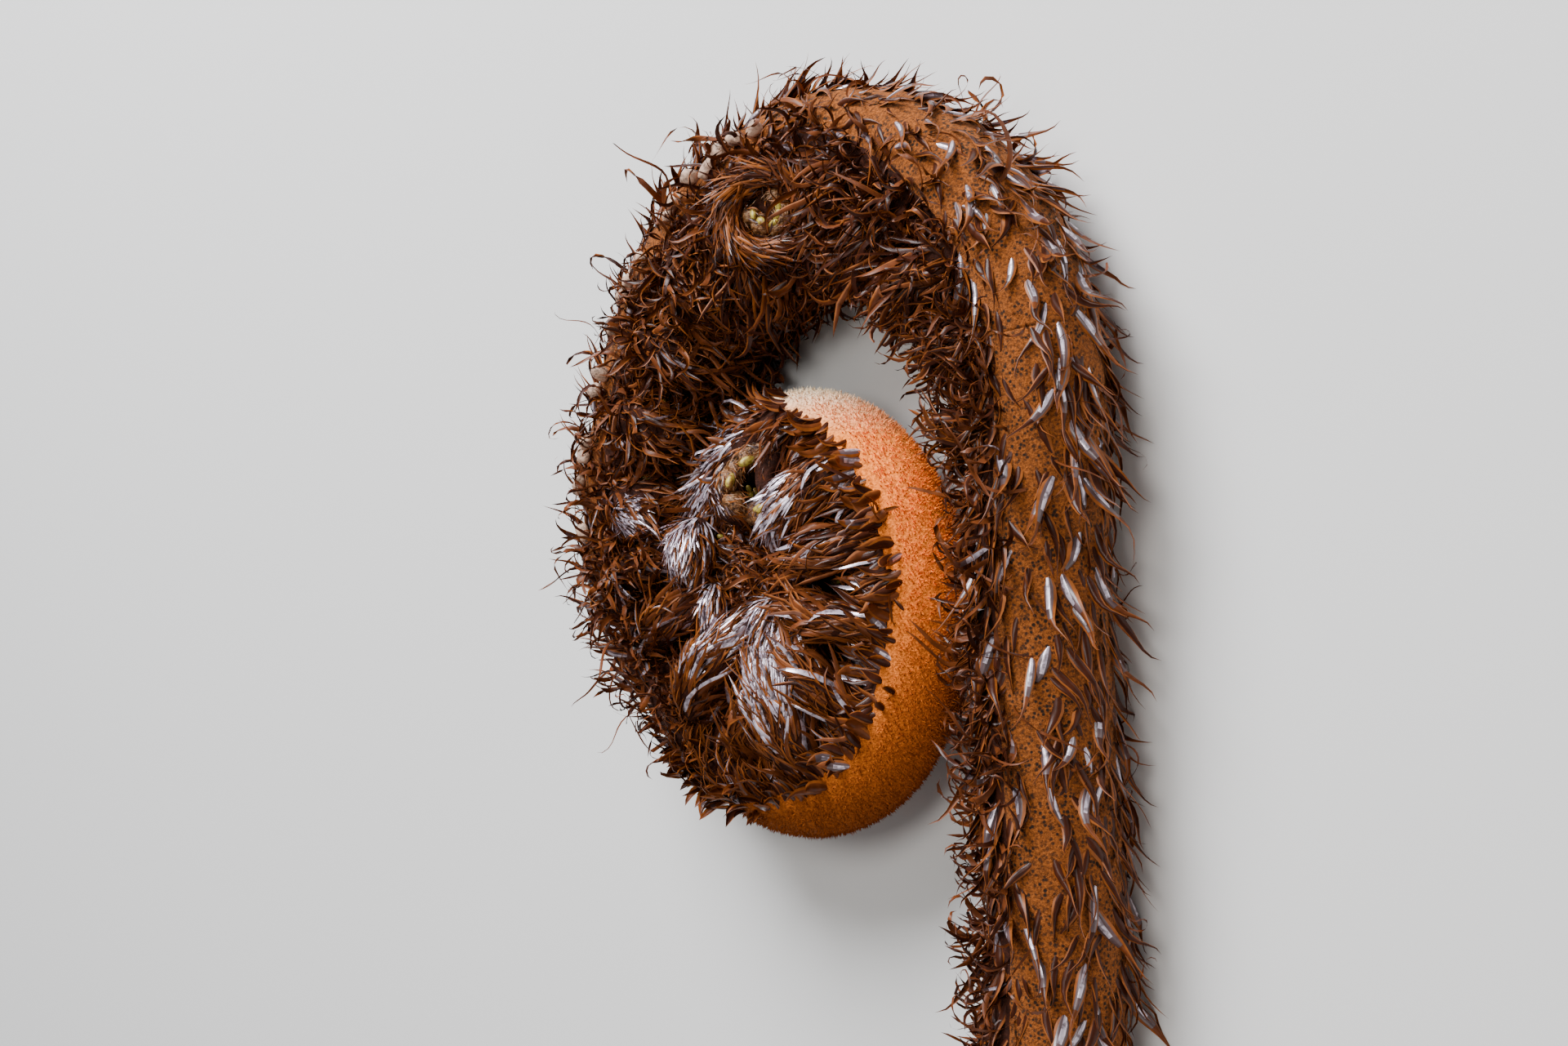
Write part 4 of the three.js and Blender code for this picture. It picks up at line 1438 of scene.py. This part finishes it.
class CROZIER_OT_air_pores(bpy.types.Operator):
    """Sets the row of pale air pores along each side of the arm"""

    bl_idname = "crozier.air_pores"
    bl_label = "Air Pores"

    def execute(self, context):
        settings = context.scene.crozier
        stops = ((0.34, 0.4), (0.46, 1), (0.66, 1.2))
        material = noisy_material("pore_tissue", tuple(settings.pore_colour), stops, (700,), 0.6, bump=0.4)
        random = np.random.default_rng(settings.seed + 90)
        balls = []
        for place in np.arange(PORES["from"], PORES["to"], PORES["every"]):
            if random.random() < PORES["missing"]:
                continue
            spot = place + random.uniform(-1.8, 1.8)
            middle, along, back, up = stalk_frame_at(spot)
            for side in (1, -1):
                turn = math.radians(PORES["degrees"] + random.uniform(-7, 7))
                outward = back * math.cos(turn) + up * math.sin(turn) * side
                centre = middle + outward * (stalk_radius(spot) + random.uniform(1.2, 2.8) * MM)
                length, width = random.uniform(3.2, 6.4) * MM, random.uniform(2.6, 4.8) * MM
                lean = np.cross(along, outward) * random.uniform(-0.8, 0.8)
                balls.append((centre, along + lean, length, width, 10, 12, int(place), 0.36))
        finish(join_balls("air_pores", balls), (), [material])
        return {"FINISHED"}


class CROZIER_OT_tender_tips(bpy.types.Operator):
    """Tucks the yellow-green tips of the youngest leaflets into the curls"""

    bl_idname = "crozier.tender_tips"
    bl_label = "Tender Tips"

    def execute(self, context):
        settings = context.scene.crozier
        random = np.random.default_rng(settings.seed + 95)
        balls = []
        for _, run, side in PINNA_GROUPS:
            for place in group_places(run):
                points, ways, _, _ = pinna_path(place, side, np.linspace(0.2, 1, 9))
                _, along, _, _ = stalk_frame_at(place)
                radius = float(look_up(PINNA_RADII, place)) * fist_size(place) * MM
                eye = points.mean(0) - along * (radius + 0.8 * MM)
                for spot in range(5):
                    jitter = random.uniform(-2.2, 2.2, 3) * MM
                    centre = eye + jitter - along * (jitter @ along)
                    size = random.uniform(1.1, 1.9) * MM
                    axis = ways[spot] + along * 0.4
                    balls.append((centre, axis, size * 1.5, size, 6, 7, int(place) + spot))
        tissue = shared(tender_tip, settings)
        finish(join_balls("tender_tips", balls), (), [tissue])
        return {"FINISHED"}


class CROZIER_OT_nest(bpy.types.Operator):
    """Curls the youngest leaflets together round dark hollows in the coil and the arch"""

    bl_idname = "crozier.nest"
    bl_label = "Nests"

    def grow_ring(self, nest, side, settings):
        """A leaflet curled to a ring, its scales combed along it."""
        middle, opens, first, second = nest_frame(nest, side)
        rows, columns = 48, 12
        shares = np.linspace(0, 1, rows)
        low, high = NEST_CURL["turn"]
        angles = np.radians(low + (high - low) * shares)
        ways = first * np.cos(angles)[:, None] + second * np.sin(angles)[:, None]
        reach = NEST_CURL["round"] * (1.12 - 0.24 * shares) * MM
        line = middle + ways * reach[:, None] + opens * (0.6 - 1.6 * shares)[:, None] * MM
        thick = NEST_CURL["thick"] * MM * np.sqrt(np.clip(shares * (1 - shares) * 12, 0.03, 1))
        outward = ways_round(ways, opens[None], round_turns(columns))
        ring = closed_body("nest_ring", *capped_rings(line[:, None] + outward * thick[:, None, None]))
        flow = np.repeat(np.cross(opens, ways) * side, columns, 0)
        # A painted highlight on the left of the ring, which faces the light.
        leftward = np.repeat(ways[:, 0] < -0.2, columns)
        steer(ring, with_ends(flow), shine=with_ends(0.3 * leftward, 0))
        forms = scale_forms("satin", settings.seed + 99)
        made = scale_palette(settings)
        # Here the painted highlight takes the amber margin colour.
        palette = made | {"silver": made["margin"]}
        grow(f"nest_curl_{SIDE_WORDS[side]}", ring, forms, palette, settings, coat="nest_curl")
        discard(forms, ring)

    def place_curls(self, random):
        """The bodies of the young curls, the way their hair lies at each of their points, and their tips."""
        curls, tips, flow = [], [], []
        rows, columns = YOUNG_BALL
        for nest, side in ((nest, side) for nest in NESTS for side in (1, -1)):
            middle, opens, first, second = nest_frame(nest, side)
            low, high = (math.radians(turn) for turn in nest["turn"])
            for i in range(nest["count"]):
                angle = low + (high - low) * (i + random.uniform(-0.25, 0.25)) / nest["count"]
                way = first * math.cos(angle) + second * math.sin(angle)
                reach = nest["round"] * random.uniform(0.9, 1.1) * MM
                centre = middle + way * reach + opens * random.uniform(-1.5, 1.0) * MM
                size = random.uniform(*nest["sizes"]) * MM
                around = np.cross(opens, way)
                curls.append((centre, around + opens * 0.5, size * 1.15, size, rows, columns, i + 40))
                flow += [around - way * 0.5] * (2 + (rows - 1) * columns)
                if i % 3 == 0 or nest["count"] < 7 and i < 5:
                    tip = centre + (opens * 0.4 - way * 0.25) * size
                    tips.append((tip, opens * 0.6 + around, size * 0.8, size * 0.42, 7, 8, i))
        return curls, flow, tips

    def execute(self, context):
        settings = context.scene.crozier
        curls, flow, tips = self.place_curls(np.random.default_rng(settings.seed + 97))
        base = tuple(settings.young_colour)
        pale = mean(shade(base, 1.4), (0.6, 0.5, 0.3), 0.35)
        stops = ((0.38, 0.15), (0.5, 1), (0.68, pale))
        material = noisy_material("young_fist", base, stops, (900, 3, 0.7), 0.5, bump=0.4)
        for side in (1, -1):
            self.grow_ring(NESTS[1], side, settings)
        bodies = join_balls("young_fists", curls)
        steer(bodies, np.array(flow))
        made = scale_palette(settings)
        # The young hair's painted reflection is the fainter dusky one.
        palette = dict.fromkeys(TINTS, material) | {"brown": made["margin"], "silver": made["dusk"]}
        forms = scale_forms("silk", settings.seed + 98)
        grow("young_hair", bodies, forms, palette, settings)
        discard(forms)
        finish(bodies, (), [material])
        tissue = shared(tender_tip, settings)
        finish(join_balls("young_tips", tips), (), [tissue])
        return {"FINISHED"}


class CROZIER_OT_satin_fists(bpy.types.Operator):
    """Sets the small satin fists between the coil and the arm, their scales with painted highlights"""

    bl_idname = "crozier.satin_fists"
    bl_label = "Satin Fists"

    def execute(self, context):
        settings = context.scene.crozier
        fists, ways, rises = [], [], []
        for number, fist in enumerate(SATIN_FISTS):
            for side in (1, -1):
                middle = coil_point(fist["middle"], side)
                combed = np.array(fist["combed"]) * (1, 1, side)
                length, width = (size * MM for size in fist["size"])
                fists.append((middle, combed, length, width, 12, 16, number + 70, 0.12))
                points, _ = lumpy_ball(*fists[-1])
                ways.append(combed + swirl(points, 5 * MM, 0.25))
                rises.append((points - middle) / width * (1, 1, side))
        rises = np.concatenate(rises)
        # Painted highlights on the side of each satin fist that faces the light.
        painted_lit = smooth_step(rises @ np.array(PAINTED_LIGHT_SIDE), 0.0, 0.5)
        bodies = join_balls("satin_fists", fists)
        steer(bodies, np.concatenate(ways), smooth_step(rises[:, 2], -0.25, 0.0), 0.85, 0.55 * painted_lit)
        forms = scale_forms("satin", settings.seed + 110)
        grow("satin_fist_scales", bodies, forms, satin_palette(settings), settings)
        finish(bodies, (), [shared(pinna_felt, settings)])
        discard(forms)
        return {"FINISHED"}


class CROZIER_OT_stage(bpy.types.Operator):
    """Lays the pale floor and sets the soft lights and the camera"""

    bl_idname = "crozier.stage"
    bl_label = "Stage"

    def add_light(self, scene, name, aim, look):
        data = bpy.data.lights.new(name, "AREA")
        data.shape = "DISK"
        data.size = look["size"]
        data.energy = look["power"]
        data.color = look["colour"]
        light = bpy.data.objects.new(name, data)
        light.location = aim + Vector(look["from"])
        light.rotation_euler = (aim - light.location).to_track_quat("-Z", "Y").to_euler()
        scene.collection.objects.link(light)

    def add_camera(self, scene, aim):
        toward = Vector((math.cos(CAMERA_ELEVATION), 0, math.sin(CAMERA_ELEVATION)))
        right = Vector((math.sin(CAMERA_ELEVATION), 0, -math.cos(CAMERA_ELEVATION)))
        place = aim + Vector(CAMERA_AIM) + toward * CAMERA_DISTANCE
        data = bpy.data.cameras.new("camera")
        data.lens = LENS
        data.sensor_width = 36
        data.clip_start = 0.01
        camera = bpy.data.objects.new("camera", data)
        camera.matrix_world = Matrix((
            (right.x, 0, toward.x, place.x),
            (right.y, 1, toward.y, place.y),
            (right.z, 0, toward.z, place.z),
            (0, 0, 0, 1),
        ))
        scene.collection.objects.link(camera)
        scene.camera = camera

    def execute(self, context):
        scene = context.scene
        corners = [(x * FLOOR_HALF, y * FLOOR_HALF, 0) for x, y in ((-1, -1), (1, -1), (1, 1), (-1, 1))]
        floor = mesh_object("floor", corners, [(0, 1, 2, 3)])
        floor.data.materials.append(node_material("floor", FLOOR_COLOUR, 0.9, 0.1)[0])
        aim = Vector(SHIFT) + Vector((0, 0, COIL_HEIGHT * MM))
        for name, look in LIGHTS.items():
            self.add_light(scene, name, aim, look)
        world = bpy.data.worlds.new("studio")
        world.use_nodes = True
        for key, value in WORLD.items():
            world.node_tree.nodes["Background"].inputs[key].default_value = value
        scene.world = world
        self.add_camera(scene, aim)
        return {"FINISHED"}


class CROZIER_PT_panel(bpy.types.Panel):
    bl_idname = "CROZIER_PT_panel"
    bl_label = "Tree Fern Crozier"
    bl_space_type = "VIEW_3D"
    bl_region_type = "UI"
    bl_category = "Crozier"

    def draw(self, context):
        for name in CrozierSettings.__annotations__:
            self.layout.prop(context.scene.crozier, name)
        for operator in OPERATORS:
            self.layout.operator(operator.bl_idname)


OPERATORS = (
    CROZIER_OT_stage, CROZIER_OT_stalk_skin, CROZIER_OT_cut_face, CROZIER_OT_fuzz, CROZIER_OT_pinnae,
    CROZIER_OT_pinna_scales, CROZIER_OT_lances, CROZIER_OT_wool, CROZIER_OT_fringe, CROZIER_OT_threads,
    CROZIER_OT_air_pores, CROZIER_OT_tender_tips, CROZIER_OT_nest, CROZIER_OT_satin_fists,
)
CLASSES = (CrozierSettings, *OPERATORS, CROZIER_PT_panel)


def register():
    for each in CLASSES:
        bpy.utils.register_class(each)
    bpy.types.Scene.crozier = PointerProperty(type=CrozierSettings)


def unregister():
    del bpy.types.Scene.crozier
    for each in reversed(CLASSES):
        bpy.utils.unregister_class(each)


def main():
    register()
    for operator in OPERATORS:
        group, name = operator.bl_idname.split(".")
        getattr(getattr(bpy.ops, group), name)()


if __name__ == "__main__":
    main()
